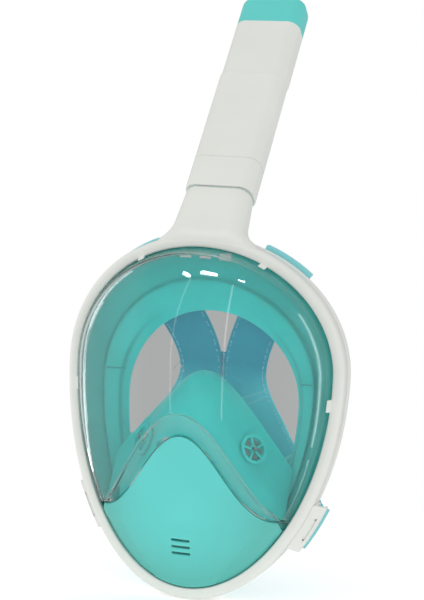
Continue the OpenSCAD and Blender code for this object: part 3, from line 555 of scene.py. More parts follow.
def arc(x, y, radius, start, end, count):
    """Points of a section's rounded corner."""
    turn = np.radians(np.linspace(start, end, count))
    return [(x + radius * math.cos(a), y + radius * math.sin(a)) for a in turn]


def circle(radius, count):
    """The points of a circle."""
    return arc(0, 0, radius, 0, 360 - 360 / count, count)


def rectangle(x0, y0, x1, y1):
    """The corners of a rectangle."""
    return [(x0, y0), (x1, y0), (x1, y1), (x0, y1)]


def quads(m, n, wrap_rows=False, wrap_columns=False, first=0):
    """Faces of a grid of m rows by n columns."""
    faces = []
    for i in range(m if wrap_rows else m - 1):
        here, there = first + i * n, first + (i + 1) % m * n
        for j in range(n if wrap_columns else n - 1):
            k = (j + 1) % n
            faces.append((here + j, here + k, there + k, there + j))
    return faces


def capped(m, n, first=0):
    """Faces of a closed form of m rings of n points, with a face on each end."""
    last = first + (m - 1) * n
    ends = [tuple(range(first, first + n))[::-1], tuple(range(last, last + n))]
    return quads(m, n, False, True, first) + ends


def looped(rows):
    """Points and faces of a form whose rows close both ways."""
    rows = np.stack(rows)
    return rows.reshape(-1, 3), quads(*rows.shape[:2], True, True)


def joined(points, faces, more_points, more_faces):
    """Points and faces of two forms as one."""
    first = len(points)
    shifted = [tuple(first + k for k in f) for f in more_faces]
    return np.concatenate([points, more_points]), faces + shifted


def normals(grid, wrap):
    """Unit normals of a grid of points."""
    down = np.gradient(grid, axis=0)
    if wrap:
        along = np.roll(grid, -1, 1) - np.roll(grid, 1, 1)
    else:
        along = np.gradient(grid, axis=1)
    return unit(np.cross(down, along))


def shell(grid, t, wrap=False, cap=False):
    """Points and faces of a skin behind a grid, of one thickness or one for each point."""
    m, n = grid.shape[:2]
    back = grid + np.broadcast_to(t, (m, n))[..., None] * normals(grid, wrap)
    h = m * n
    points = np.concatenate([grid.reshape(-1, 3), back.reshape(-1, 3)])
    faces = [f[::-1] for f in quads(m, n, False, wrap)] + quads(m, n, False, wrap, h)
    last = n if wrap else n - 1
    for j in range(last):
        k = (j + 1) % n
        faces.append((j, k, h + k, h + j))
        if not cap:
            faces.append((h - n + k, h - n + j, 2 * h - n + j, 2 * h - n + k))
    if not wrap:
        for a in range(0, h - n, n):
            b, e = a + n, a + n - 1
            faces += [(b, a, h + a, h + b), (e, e + n, h + e + n, h + e)]
    if cap:
        points = np.concatenate([points, [grid[-1].mean(0), back[-1].mean(0)]])
        for j in range(last):
            k = (j + 1) % n
            faces += [(h - n + k, h - n + j, 2 * h), (2 * h - n + j, 2 * h - n + k, 2 * h + 1)]
    return points, faces


def mesh_of(name, points, faces):
    """A closed mesh from points in millimetres, with its faces turned outward."""
    mesh = bpy.data.meshes.new(name)
    places = [tuple(p) for p in np.asarray(points, float) * MM]
    mesh.from_pydata(places, [], [tuple(map(int, f)) for f in faces])
    mesh.validate()
    work = bmesh.new()
    work.from_mesh(mesh)
    bmesh.ops.recalc_face_normals(work, faces=work.faces)
    work.to_mesh(mesh)
    work.free()
    return mesh


def make(name, points, faces, finish, body, nodes=(), bevel=0.0, sharp=40, slot=None):
    """A piece from points in millimetres, shaded smooth, that rides on a body."""
    mesh = mesh_of(name, points, faces)
    mesh.shade_smooth()
    mesh.materials.append(finish_of(finish))
    piece = bpy.data.objects.new(name, mesh)
    bpy.context.scene.collection.objects.link(piece)
    if bevel:
        round_edges(piece, bevel, sharp)
    else:
        crease(piece, sharp)
    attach(piece, body)
    if nodes:
        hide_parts(*nodes)
    return piece


def crease(piece, sharp):
    """Keeps the shading apart on both sides of edges that turn by more than an angle."""
    piece.data.set_sharp_from_angle(angle=math.radians(sharp))


def mark(piece, name, values):
    """Gives each vertex of a piece a value that its material reads."""
    layer = piece.data.attributes.new(name, "FLOAT", "POINT")
    layer.data.foreach_set("value", np.asarray(values, np.float32))


def paint_light_and_shade(piece, points, values):
    """Gives each vertex the painted light and shade of the nearest of some points in millimetres.
    """
    tree = KDTree(len(points))
    for k, point in enumerate(points):
        tree.insert(Vector(point) * MM, k)
    tree.balance()
    mark(piece, "light_and_shade", [values[tree.find(v.co)[1]] for v in piece.data.vertices])


def round_edges(piece, width, sharp=40):
    """Rounds a piece's sharp edges, as a mould does."""
    bevel = piece.modifiers.new("rounded_edges", "BEVEL")
    bevel.width = width * MM
    bevel.segments = 2
    bevel.limit_method = "ANGLE"
    bevel.angle_limit = math.radians(sharp)
    bevel.use_clamp_overlap = True
    flat = piece.modifiers.new("even_shading", "WEIGHTED_NORMAL")
    flat.keep_sharp = True


def cut(piece, points, faces):
    """Cuts a closed form out of a piece for good."""
    mesh = mesh_of("cutter", points, faces)
    cutter = bpy.data.objects.new("cutter", mesh)
    bpy.context.scene.collection.objects.link(cutter)
    others = list(piece.modifiers)
    boolean = piece.modifiers.new("cut", "BOOLEAN")
    boolean.operation = "DIFFERENCE"
    boolean.solver = "EXACT"
    boolean.object = cutter
    # Rounded edges come after the cut, so they are left out while it is made
    for modifier in others:
        modifier.show_viewport = False
    graph = bpy.context.evaluated_depsgraph_get()
    result = bpy.data.meshes.new_from_object(piece.evaluated_get(graph), depsgraph=graph)
    piece.modifiers.remove(boolean)
    for modifier in others:
        modifier.show_viewport = True
    old = piece.data
    result.name = old.name
    piece.data = result
    bpy.data.meshes.remove(old)
    bpy.data.objects.remove(cutter)
    bpy.data.meshes.remove(mesh)


def prism(outline, h0, h1):
    """Points and faces of a closed form from an outline, drawn from h0 to h1."""
    points = [(x, y, h) for h in (h0, h1) for x, y in outline]
    return np.array(points, float), capped(2, len(outline))


def turned(profile, count=64):
    """Points and faces of a closed form turned from a profile of radius and height."""
    a = np.linspace(0, 2 * np.pi, count, endpoint=False)
    rows = np.stack([column(r * np.cos(a), r * np.sin(a), h) for r, h in profile])
    return rows.reshape(-1, 3), capped(len(profile), count)


def aim(points, place, direction):
    """Stands points up along a direction at a place."""
    turn = Vector((0, 0, 1)).rotation_difference(Vector(direction)).to_matrix()
    return np.asarray(points) @ np.array(turn).T + np.asarray(place)


def air_ports(g):
    """The three ways from the tube's channels through the frame's top, as closed forms to cut."""
    apart, wide = 13.6, 9.0
    y, z = g.bead_d + 1.5 - g.face_depth, g.tube_at[2]
    for x in (-apart, 0.0, apart):
        outline = rectangle(x - wide / 2, y, x + wide / 2, y + wide)
        yield prism(outline, z - 1.4 * g.bead_n, z + 0.6 * g.bead_n)


def dress(node, finish, bevel, sharp=35):
    """Gives a solid its material, smooth shading and rounded edges."""
    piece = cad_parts[node]
    piece.data.materials.clear()
    piece.data.materials.append(finish_of(finish))
    if "custom_normal" in piece.data.attributes:
        piece.data.attributes.remove(piece.data.attributes["custom_normal"])
    piece.data.shade_smooth()
    weld = piece.modifiers.new("weld", "WELD")
    weld.merge_threshold = 0.002 * MM
    round_edges(piece, bevel, sharp)


def shape_of(context):
    """The mask's shape from the scene's sizes."""
    return Shape(context.scene.mask_sizes)


class MASK_OT_stage(bpy.types.Operator):
    """Set up the floor, the soft lights, the pale surroundings and the camera"""

    bl_idname = "mask.stage"
    bl_label = "Studio"

    def execute(self, context):
        self.floor(context.scene)
        self.surroundings(context.scene)
        self.lamps(context.scene)
        self.camera(context.scene)
        return {"FINISHED"}

    def floor(self, scene):
        """A round floor just under the mask, in metres"""
        low, middle = CAD_BOX[0].z - 0.2 * MM, 0.03
        count, rings = 96, (0.02, 0.1, 0.2, 0.32)
        points = [(0, middle, low)]
        for r in rings:
            points += [(x, y + middle, low) for x, y in circle(r, count)]
        faces = [(0, 1 + k, 1 + (k + 1) % count) for k in range(count)]
        faces += quads(len(rings), count, False, True, 1)
        mesh = bpy.data.meshes.new("studio_floor")
        mesh.from_pydata(points, [], faces)
        mesh.materials.append(finish_of("floor"))
        floor = bpy.data.objects.new("studio_floor", mesh)
        scene.collection.objects.link(floor)
        # The floor stays out of the lens's reflections
        floor.visible_glossy = False
        floor.visible_transmission = False

    def surroundings(self, scene):
        """White behind the mask, even light on its surfaces and grey cards to reflect"""
        world = bpy.data.worlds.new("studio")
        world.use_nodes = True
        tree = world.node_tree
        tree.nodes.clear()
        path = add(tree, "ShaderNodeLightPath")
        # What lies behind the lens gets more of the even light, because lamps don't shine through
        # solid polycarbonate by themselves
        lit = add(tree, "ShaderNodeMath", {
            0: path.outputs["Diffuse Depth"], 1: 0.5}, operation="GREATER_THAN")
        within = add(tree, "ShaderNodeMath", {
            0: path.outputs["Transmission Depth"], 1: 2.5}, operation="GREATER_THAN")
        even = add(tree, "ShaderNodeMix", {
            SHARE: within.outputs[0], FIRST: (0.89, 0.89, 0.89, 1), SECOND: (1.52, 1.52, 1.52, 1)},
            data_type="RGBA")
        # Reflections and the view through the lens meet grey cards before and behind the mask,
        # and white at its sides
        facing = add(tree, "ShaderNodeSeparateXYZ", {
            0: add(tree, "ShaderNodeTexCoord").outputs["Generated"]})
        sideways = add(tree, "ShaderNodeMath", {0: facing.outputs["X"]}, operation="ABSOLUTE")
        card = add(tree, "ShaderNodeMapRange", {
            "Value": sideways.outputs[0], "From Min": 0.72, "From Max": 0.86})
        beside = add(tree, "ShaderNodeMath", {
            0: card.outputs[0], 1: path.outputs["Is Transmission Ray"]}, operation="MULTIPLY")
        seen = add(tree, "ShaderNodeMix", {
            SHARE: beside.outputs[0], FIRST: (0.44, 0.43, 0.43, 1), SECOND: (0.75, 0.75, 0.75, 1)},
            data_type="RGBA")
        grey = add(tree, "ShaderNodeMix", {
            SHARE: lit.outputs[0], FIRST: seen.outputs[MIXED], SECOND: even.outputs[MIXED]},
            data_type="RGBA")
        glow = add(tree, "ShaderNodeMix", {
            SHARE: path.outputs["Is Camera Ray"], FIRST: grey.outputs[MIXED],
            SECOND: (1.0, 1.0, 1.0, 1)}, data_type="RGBA")
        back = add(tree, "ShaderNodeBackground", {"Color": glow.outputs[MIXED]})
        add(tree, "ShaderNodeOutputWorld", {"Surface": back.outputs[0]})
        scene.world = world

    def lamps(self, scene):
        """One softbox that lights the surfaces, and tubes and strips that only reflections show"""
        target = Vector((0, 0, 0.05))
        # Name, place, width and height in metres, watts
        for name, place, wide, high, watts in (
            ("key_softbox", (-1.00, -0.90, 0.85), 1.2, 1.2, 1.5),
            ("ceiling_tube_1", (-0.43, -0.72, 0.95), 0.12, 0.035, 0.45),
            ("ceiling_tube_2", (-0.12, -0.72, 0.95), 0.22, 0.035, 0.80),
            ("ceiling_tube_3", (0.30, -0.66, 0.90), 0.09, 0.03, 0.35),
            ("left_strip", (-0.50, -1.06, 0.30), 0.025, 1.6, 0.26),
            ("right_strip", (0.30, -1.10, 0.30), 0.025, 1.5, 0.32),
            ("left_edge_strip", (-1.08, 0.27, 0.15), 0.08, 1.2, 0.9),
            ("right_edge_strip", (1.15, -0.05, 0.15), 0.16, 1.2, 1.8),
            ("right_low_strip", (0.90, -0.05, -0.80), 0.14, 0.8, 1.1),
        ):
            lamp = bpy.data.lights.new(name, "AREA")
            lamp.shape, lamp.size, lamp.size_y, lamp.energy = "RECTANGLE", wide, high, watts
            holder = bpy.data.objects.new(name, lamp)
            holder.location = place
            holder.rotation_euler = (target - Vector(place)).to_track_quat("-Z", "Y").to_euler()
            holder.visible_diffuse = name == "key_softbox"
            holder.visible_glossy = name != "key_softbox"
            # These three would show as white patches through the lens from behind
            patchy = name in ("key_softbox", "left_strip", "right_strip")
            holder.visible_transmission = not patchy
            scene.collection.objects.link(holder)

    def camera(self, scene):
        """The camera, turned to the mask's right, a little above it and tilted"""
        camera = bpy.data.cameras.new("studio_camera")
        camera.sensor_width = 36.0
        camera.lens = 101.64
        camera.clip_start = 0.05
        target, distance = Vector((8.45, -33.2, 94.6)) * MM, 1.1
        yaw, pitch, roll = (math.radians(x) for x in (18.3, 4.5, 2.9))
        away = Vector((-math.sin(yaw) * math.cos(pitch), math.cos(yaw) * math.cos(pitch),
                       -math.sin(pitch)))
        side = Vector((math.cos(yaw), math.sin(yaw), 0))
        rise = side.cross(away)
        right = math.cos(roll) * side + math.sin(roll) * rise
        up = math.cos(roll) * rise - math.sin(roll) * side
        turn = Matrix((right, up, -away)).transposed().to_4x4()
        holder = bpy.data.objects.new("studio_camera", camera)
        holder.matrix_world = Matrix.Translation(target - distance * away) @ turn
        scene.collection.objects.link(holder)
        scene.camera = holder
        scene.view_settings.view_transform = "Standard"


class MASK_OT_frame(bpy.types.Operator):
    """Build the white frame with its flared neck, spigot, tabs and the ring behind it"""

    bl_idname = "mask.frame"
    bl_label = "Frame"

    def execute(self, context):
        g = shape_of(context)
        self.ring(g)
        self.neck(g)
        self.spigot(g)
        self.tabs(g)
        dress("rear_ring", "white_abs", 0.3)
        self.screws(g)
        return {"FINISHED"}

    def ring(self, g):
        """The ring, with its rounded front edge, lip and wall"""
        turns = np.arange(288) * 360 / 288
        r, d = g.ring_round, g.ring_d
        section = arc(r, r, r, 180, 270, 9) + [(r + 1, 0.02)]
        section += arc(g.lip_w - 1.3, 1.4, 1.3, 272, 360, 6)
        section += [(g.lip_w, g.lip_t), (g.wall_t, g.lip_t), (g.wall_t, d)]
        section += arc(0.7, d - 0.7, 0.7, 90, 180, 4)
        # A fine parting line where the two halves of the mould meet
        section += [(0, 12.6), (0.22, 12.4), (0.22, 12.2), (0, 12.0)]
        points, faces = looped([g.rim(turns, n, back) for n, back in section])
        ring = make("frame_ring", points, faces, "white_abs", "mask", ("frame",), sharp=50,
                    slot="white_plastic")
        for port in air_ports(g):
            cut(ring, *port)
        crease(ring, 50)

    def neck(self, g):
        """The neck, which flows from the tube's section down onto the ring"""
        top, wide, deep = g.shoulder_s, g.tube_w - 2 * g.neck_step, g.tube_dep - 2 * g.neck_step
        x, y, a = oblong(wide + 2.7, deep + 1.4, g.tube_round)
        back = (1 + y / y.max()) / 2
        start = g.on_tube(x, y, mix(4.0, 15.0, back))
        # The foot runs over the ring's rounded front edge, down its outside and up to its rear
        at = np.degrees(np.arccos((x + 11 * np.cos(a)) / g.ring_half))
        stations = [0, 0.12, 0.22, 0.8, 1]
        foot = g.rim(at, np.interp(back, stations, [4.6, 1.25, 0.12, 0.12, 0.5]),
                     np.interp(back, stations, [0.12, 1.25, 4.0, 17.0, 19.6]))
        axis = g.on_tube(0, 0, 1) - g.on_tube(0, 0, 0)
        reach = np.linalg.norm(foot - start, axis=1, keepdims=True)
        leave = unit(column(np.cos(a), np.minimum(0, -np.sin(a)) * (back > 0.5),
                            -0.25 + np.minimum(0, np.sin(a))))

        def level(inset, s):
            return g.tube_section(g.neck_step + inset, s, g.neck_step)

        rim = level(0, top - 0.9)
        rows = [level(0.8, top), level(0.25, top - 0.2), rim]
        rows += [mix(rim, start, f) for f in (0.33, 0.66)]
        for v in np.linspace(0, 1, 15):
            rows.append((2 * v**3 - 3 * v**2 + 1) * start
                        - (v**3 - 2 * v**2 + v) * axis * reach * 1.1
                        + (3 * v**2 - 2 * v**3) * foot
                        + (v**3 - v**2) * leave * reach * 1.2)
        bore = 4.2
        rows += [mix(foot, g.tube_section(bore, 6), 0.3), g.tube_section(bore, 7),
                 g.tube_section(bore, top)]
        neck = make("frame_neck", *looped(rows), "white_abs", "mask", sharp=45,
                    slot="white_plastic")
        # The latch's window through the back
        window, more = prism(rectangle(-6.2, -4.2, 6.2, 4.2), 5.0, 20.0)
        cut(neck, g.on_tube(window[:, 0], window[:, 2], g.latch_s + window[:, 1]), more)
        crease(neck, 35)

    def spigot(self, g):
        """The spigot that the tube pushes onto, with its two partitions"""
        outside, bottom, top = 2.4, 9.0, g.spigot_s
        wall = [(0.0, 30), (0.0, top - 1.4), (0.5, top - 0.3), (1.2, top), (1.6, top - 0.2),
                (1.8, top - 0.8), (1.8, bottom)]
        points, faces = looped([g.tube_section(outside + inset, s) for inset, s in wall])
        half, deep = 0.8, g.tube_dep / 2 - 4.1
        for x in (-g.part_x, g.part_x):
            plate, more = prism(rectangle(x - half, -deep, x + half, deep), bottom, top - 0.1)
            points, faces = joined(points, faces, g.on_tube(*plate.T), more)
        make("spigot_channels", points, faces, "white_abs", "mask", ("air_spigot",), sharp=35,
             slot="white_plastic")

    def tabs(self, g):
        """Four tabs that lean in over the lens's wall"""
        half, count = 1.6, 7
        section = [(g.lip_w - 1.4, 1), (g.lip_w + 0.8, -3.2), (g.lip_w + 1.73, -3.2),
                   (g.lip_w + 0.4, 1)]
        for k, t in enumerate((62, 118, -6.5, 186.5)):
            turns = np.linspace(t - half, t + half, count)
            points = np.stack([g.rim(turns, n, d) for n, d in section], 1).reshape(-1, 3)
            make(f"frame_tab_{k + 1}", points, capped(count, len(section)), "white_abs", "mask",
                 bevel=0.4, slot="white_plastic")

    def screws(self, g):
        """Countersunk screws that hold the ring behind the skirt"""
        to_rear = (0, 1, 0)
        for k, t in enumerate((18, 90, 162, 205, 245, 295, 335)):
            points, faces = prism(circle(1.9, 24), -0.6, 0.25)
            place = g.rim(t, 6.0, g.ring_d)
            head = make(f"rear_screw_{k + 1}", aim(points, place, to_rear), faces, "steel", "mask",
                        bevel=0.2)
            # The cross in the head
            for x, y in ((1.2, 0.25), (0.25, 1.2)):
                bar, more = prism(rectangle(-x, -y, x, y), -0.2, 0.6)
                cut(head, aim(bar, place, to_rear), more)


class MASK_OT_lens(bpy.types.Operator):
    """Build the clear lens: flange, wall, rounded edge, window and the step above the chin"""

    bl_idname = "mask.lens"
    bl_label = "Lens"

    def execute(self, context):
        g = shape_of(context)
        # The upper part follows the frame, and the lower part the chin cover's top edge
        t = np.linspace(-g.corner_a, 180 + g.corner_a, 241)
        u = np.linspace(-1, 1, 121)[1:-1]
        grid = np.concatenate([np.stack(rows) for rows in self.rows(g, t, u)], 1)
        level, low = np.arange(len(grid)), np.arange(grid.shape[1]) >= len(t)
        # The foot behind the chin cover is thinned to a feather edge
        feather = np.interp(level, [0, 2, 5], [0.25, 0.3, 1])
        thick = g.lens_t * np.where(low, feather[:, None], 1.0)
        points, faces = shell(grid, thick, True, True)
        lens = make("clear_lens", points, faces, "polycarbonate", "mask", ("lens",), sharp=60,
                    slot="clear_lens")
        # How far each point belongs to the wall at the frame, where light crosses more material
        wall = np.outer(np.interp(level, [2, 4, 8], [1, 0.8, 0]), ~low)
        # The step above the chin cover keeps a little of the mould's texture
        frost = np.outer(np.interp(level, [2, 4, 10, 14], [0, 1, 1, 0]), low)
        for name, values in (("wall", wall), ("frost", frost)):
            mark(lens, name, np.concatenate([values.ravel(), values.ravel(), [0, 0]]))
        return {"FINISHED"}

    def rows(self, g, t, u):
        """The lens's outer rows from its flange to the window's middle, upper and lower part"""
        out = g.outward(t)
        ease = np.interp(np.abs(t - 90), [83.5 + g.corner_a, 90 + g.corner_a], [0, 4.6])
        foot = g.rim(t, g.lip_w + 0.9, 0.5)
        flat = g.flat(t, g.edge_n)
        edge = g.window(flat[:, 0], flat[:, 1])
        brow = mix(foot, edge, 0.75) + 0.8 * column(out[:, 0], -1, out[:, 1])
        chin, ridge = g.chin_edge(u), g.ridge(u)
        tuck = column(0 * u, g.tuck(u), 0 * u)
        foot_low = chin + [0, 0.4, 1]
        upper = [g.rim(t, g.seat_n + ease, g.flange_d), g.rim(t, g.lip_w + 0.5, g.flange_d), foot]
        lower = [chin + tuck - [0, 0, 5], chin + tuck + [0, 0, 0.8], foot_low]
        # The wall up to where its edge begins to turn
        turn_up, turn_low = mix(foot, brow, 0.72), mix(foot_low, ridge, 0.90)
        for f in (0.3, 0.6, 1.0):
            upper.append(mix(foot, turn_up, f))
            lower.append(mix(foot_low, turn_low, f))

        def inner(p, f):
            return g.window(p[:, 0] * (1 - f), mix(p[:, 2], g.window_z, f))

        # The rounded edge, and then the window up to its middle
        rim_up, rim_low = 0.07, 0.02
        begin_up, begin_low = inner(edge, rim_up), inner(ridge, rim_low)
        crest_up, crest_low = mix(brow, edge, 0.3), ridge + [0, -0.3, 0.2]
        for v in np.linspace(0, 1, 9)[1:]:
            w = ((1 - v) ** 2, 2 * v * (1 - v), v * v)
            upper.append(w[0] * turn_up + w[1] * crest_up + w[2] * begin_up)
            lower.append(w[0] * turn_low + w[1] * crest_low + w[2] * begin_low)
        for f in np.linspace(0.0, 1, 22)[1:-1]:
            upper.append(inner(edge, mix(rim_up, 1, f)))
            lower.append(inner(ridge, mix(rim_low, 1, f)))
        return upper, lower


class MASK_OT_chin(bpy.types.Operator):
    """Build the mint chin cover with its drain slots, and the drain valve behind it"""

    bl_idname = "mask.chin"
    bl_label = "Chin cover"

    def execute(self, context):
        g = shape_of(context)
        u, f = g.drain_at
        place = g.chin(u, f)
        facing = np.cross(g.chin(u, f + 0.02) - g.chin(u, f - 0.02), [1, 0, 0])
        self.cover(g, place, facing)
        dress("purge_seat", "white_abs", 0.15)
        self.flap(g, place, facing)
        return {"FINISHED"}

    def cover(self, g, place, facing):
        """The cover, with three drain slots at a place"""
        u = np.linspace(0.95, -0.95, 181)
        rows = [g.chin(u, f) for f in np.linspace(0, 1, 91)]
        # Both lower corners are set back behind a soft step
        back, soft = 0.9, 1.3
        for row in rows:
            drop = -56 - row[:, 2]
            beside = np.abs(row[:, 0]) - 44.1 + 0.66 * drop
            inside = np.clip([drop / soft, beside / soft], 0, 1).min(0)
            row[:, 1] += back * inside * inside * (3 - 2 * inside)
        at = mix(-90, -g.corner_a, u)
        rows += [g.rim(at, g.lip_w + 1, g.flange_d), g.rim(at, g.seat_n, g.flange_d)]
        points, faces = shell(np.stack(rows), g.cover_t)
        cover = make("chin_cover_shell", points, faces, "mint_abs", "mask", ("chin_cover",),
                     slot="mint_plastic")
        half, pitch = 5.5, 4.8
        for k in (-1, 0, 1):
            y = pitch * k
            outline = arc(half, y, 1, -90, 90, 9) + arc(-half, y, 1, 90, 270, 9)
            hole, more = prism(outline, -9, 9)
            cut(cover, aim(hole, place, facing), more)
        crease(cover, 40)
        # Painted shade: its tone grows duller and greener as it dips back towards the ring
        front, shaded_dip = 52.0, 16.0
        depth = np.array([v.co.y for v in cover.data.vertices]) / MM
        mark(cover, "shaded_dip", np.clip((depth + front) / shaded_dip, 0, 1))
        round_edges(cover, 0.45)

    def flap(self, g, place, facing):
        """A round flap with a thicker rim, held by its stem and the barb at the stem's end"""
        # Spokes, flap, lift and rise of the seat, behind the cover's bulge
        seat_half, seat_h = 13.5, 1.8 + 0.9 + 1.5 + 2.8
        sag = g.chin(seat_half / g.corner[0], g.drain_at[1])[1] - place[1]
        foot = place - (g.cover_t + g.fit + sag + seat_h) * unit(facing)
        points, faces = turned([
            (0.9, -0.6), (1.5, -0.3), (1.5, 1.2), (1.7, 1.7), (2.4, 1.95), (6.0, 2.1),
            (10.2, 1.95), (11.2, 1.92), (11.4, 2.3), (11.2, 2.7), (10.2, 2.75), (6.0, 2.55),
            (2.2, 2.75), (0.6, 2.8)])
        make("drain_flap", aim(points, foot, facing), faces, "flap_silicone", "purge_flap",
             ("purge_flap",), sharp=60, slot="clear_silicone")


class MASK_OT_skirt(bpy.types.Operator):
    """Build the silicone skirt with its stepped panels, ribs and sealing lip"""

    bl_idname = "mask.skirt"
    bl_label = "Skirt"

    def execute(self, context):
        g = shape_of(context)
        self.seal(g)
        self.ribs(g)
        return {"FINISHED"}

    def seal(self, g):
        """The skirt from its bead in the frame to the lip round the face opening"""
        t, s = np.arange(240) * 360 / 240, g.skirt_t
        # Share of the way from the bead, depth, and painted light and shade: front, then rear
        profile = (
            (0.12, 0, -0.1), (0.39, 0, -0.12), (0.425, -0.15, -0.3), (0.475, -3.1, -0.3),
            (0.51, -3.4, 0), (0.68, -2.3, 0.03), (0.79, -1.6, 0.04), (0.825, -1.4, 0.05),
            (0.855, -1.1, 0.06), (0.89, -0.5, 0.08), (0.97, 0.9, 0.12), (1.0, 2.0, 0.15),
            (0.99, 2 + s, 0.1), (0.84, s - 1, 0), (0.48, s - 3.2, 0), (0.4, s + 0.2, 0),
            (0.1, s + 0.2, 0))
        bead = [(g.seat_n, g.bead_d + g.bead_t), (g.seat_n, g.bead_d), (g.bead_n, g.bead_d),
                (g.bead_n, g.bead_d + g.bead_t)]
        rows = [g.rim(t, n, d) for n, d in bead[:3]]
        rows += [g.skirt(t, f, y) for f, y, _ in profile]
        rows = np.stack(rows + [g.rim(t, *bead[3])])
        light_and_shade = np.outer([0, 0, 0] + [light for _, _, light in profile] + [0], np.ones(len(t)))
        # Beside the eyes and cheeks, but not at the brow, a second step sets the lip back
        aside = np.clip((0.85 - np.sin(np.radians(t))) / 0.45, 0, 1)
        rows[8:12, :, 1] += np.outer([-0.6, -1.0, -1.0, 0.2], aside)
        # Painted shade darkens the second step
        light_and_shade[10:12] -= 0.25 * aside
        rows = smoothed(rows)
        skirt = make("skirt_seal", *looped(rows), "teal_silicone", "mask", ("face_skirt",),
                     sharp=180, slot="teal_silicone")
        for port in air_ports(g):
            cut(skirt, *port)
        crease(skirt, 50)
        paint_light_and_shade(skirt, rows.reshape(-1, 3), smoothed(light_and_shade).ravel())

    def ribs(self, g):
        """A level rib that stiffens the panel beside each eye"""
        count, wide, edge = 11, np.array([-0.6, -0.25, 0.25, 0.6]), np.array([0.4, -0.8, -0.8, 0.4])
        bar = []
        for f in np.linspace(0.52, 0.88, count):
            turn = 3.5 + 21 * (f - 0.45)
            y = np.interp(f, [0.52, 0.68, 0.79, 0.825, 0.855, 0.88],
                          [-3.3, -2.9, -2.6, -2.4, -0.9, -0.7])
            bar.append(g.skirt(turn + wide, f, y) + column(0, edge, 0))
        bar = np.concatenate(bar)
        for k, (_, flip) in enumerate(SIDES):
            rib = make(f"skirt_rib_{k + 1}", bar * flip, capped(count, len(wide)), "teal_silicone",
                       "mask", bevel=0.25, slot="teal_silicone")
            # Painted shade darkens each rib
            mark(rib, "light_and_shade", np.full(len(bar), -0.3))


class MASK_OT_nose_cup(bpy.types.Operator):
    """Build the silicone nose cup and its two inhale valves"""

    bl_idname = "mask.nose_cup"
    bl_label = "Nose cup"

    def execute(self, context):
        g = shape_of(context)
        u, f = g.inhale_at
        place = g.nose(u, f)
        facing = unit(np.cross(g.nose(u + 0.05, f) - g.nose(u - 0.05, f),
                               g.nose(u, f - 0.1) - g.nose(u, f + 0.1)))
        self.hood(g, place, facing)
        for name, _ in SIDES:
            dress(f"inhale_seat_{name}", "teal_abs", 0.15)
        self.flaps(place, facing)
        return {"FINISHED"}

    def hood(self, g, place, facing):
        """The hood, with a hole in each flank for a valve's seat"""
        u = np.linspace(0.97, -0.97, 161)
        grid = np.stack([g.nose(u, f) for f in np.linspace(0, 1, 49)])
        points, faces = shell(grid, g.nose_t)
        cup = make("nose_cup_hood", points, faces, "teal_silicone", "mask", ("nose_cup",),
                   slot="teal_silicone")
        hole, more = prism(circle(9.15, 64), -8, 8)
        for _, flip in SIDES:
            cut(cup, aim(hole, place * flip, facing * flip), more)
        crease(cup, 40)
        # Painted light on the nose cup's thin rear lip and on its lit front edge by the lens
        light_and_shade = np.interp(np.linspace(0, 1, len(grid)), [0, 0.05, 0.6, 0.8, 1],
                         [0.12, 0.02, 0, 0.15, 0.3])
        paint_light_and_shade(cup, grid.reshape(-1, 3), np.repeat(light_and_shade, len(u)))
        round_edges(cup, 0.5)

    def flaps(self, place, facing):
        """Thin dished discs, each on a stem that ends in a barb outside its seat's hub"""
        points, faces = turned([
            (0.4, -1.0), (3.0, -0.95), (6.2, -0.85), (7.0, -0.98), (7.3, -0.75), (7.0, -0.35),
            (6.2, -0.12), (2.4, -0.2), (1.6, -0.05), (1.5, 0.3), (1.5, 2.6), (1.45, 3.2),
            (0.8, 3.38)])
        for name, flip in SIDES:
            make(f"inhale_disc_{name}", aim(points, place * flip, facing * flip), faces,
                 "flap_silicone", f"inhale_flap_{name}", (f"inhale_flap_{name}",), sharp=60,
                 slot="clear_silicone")


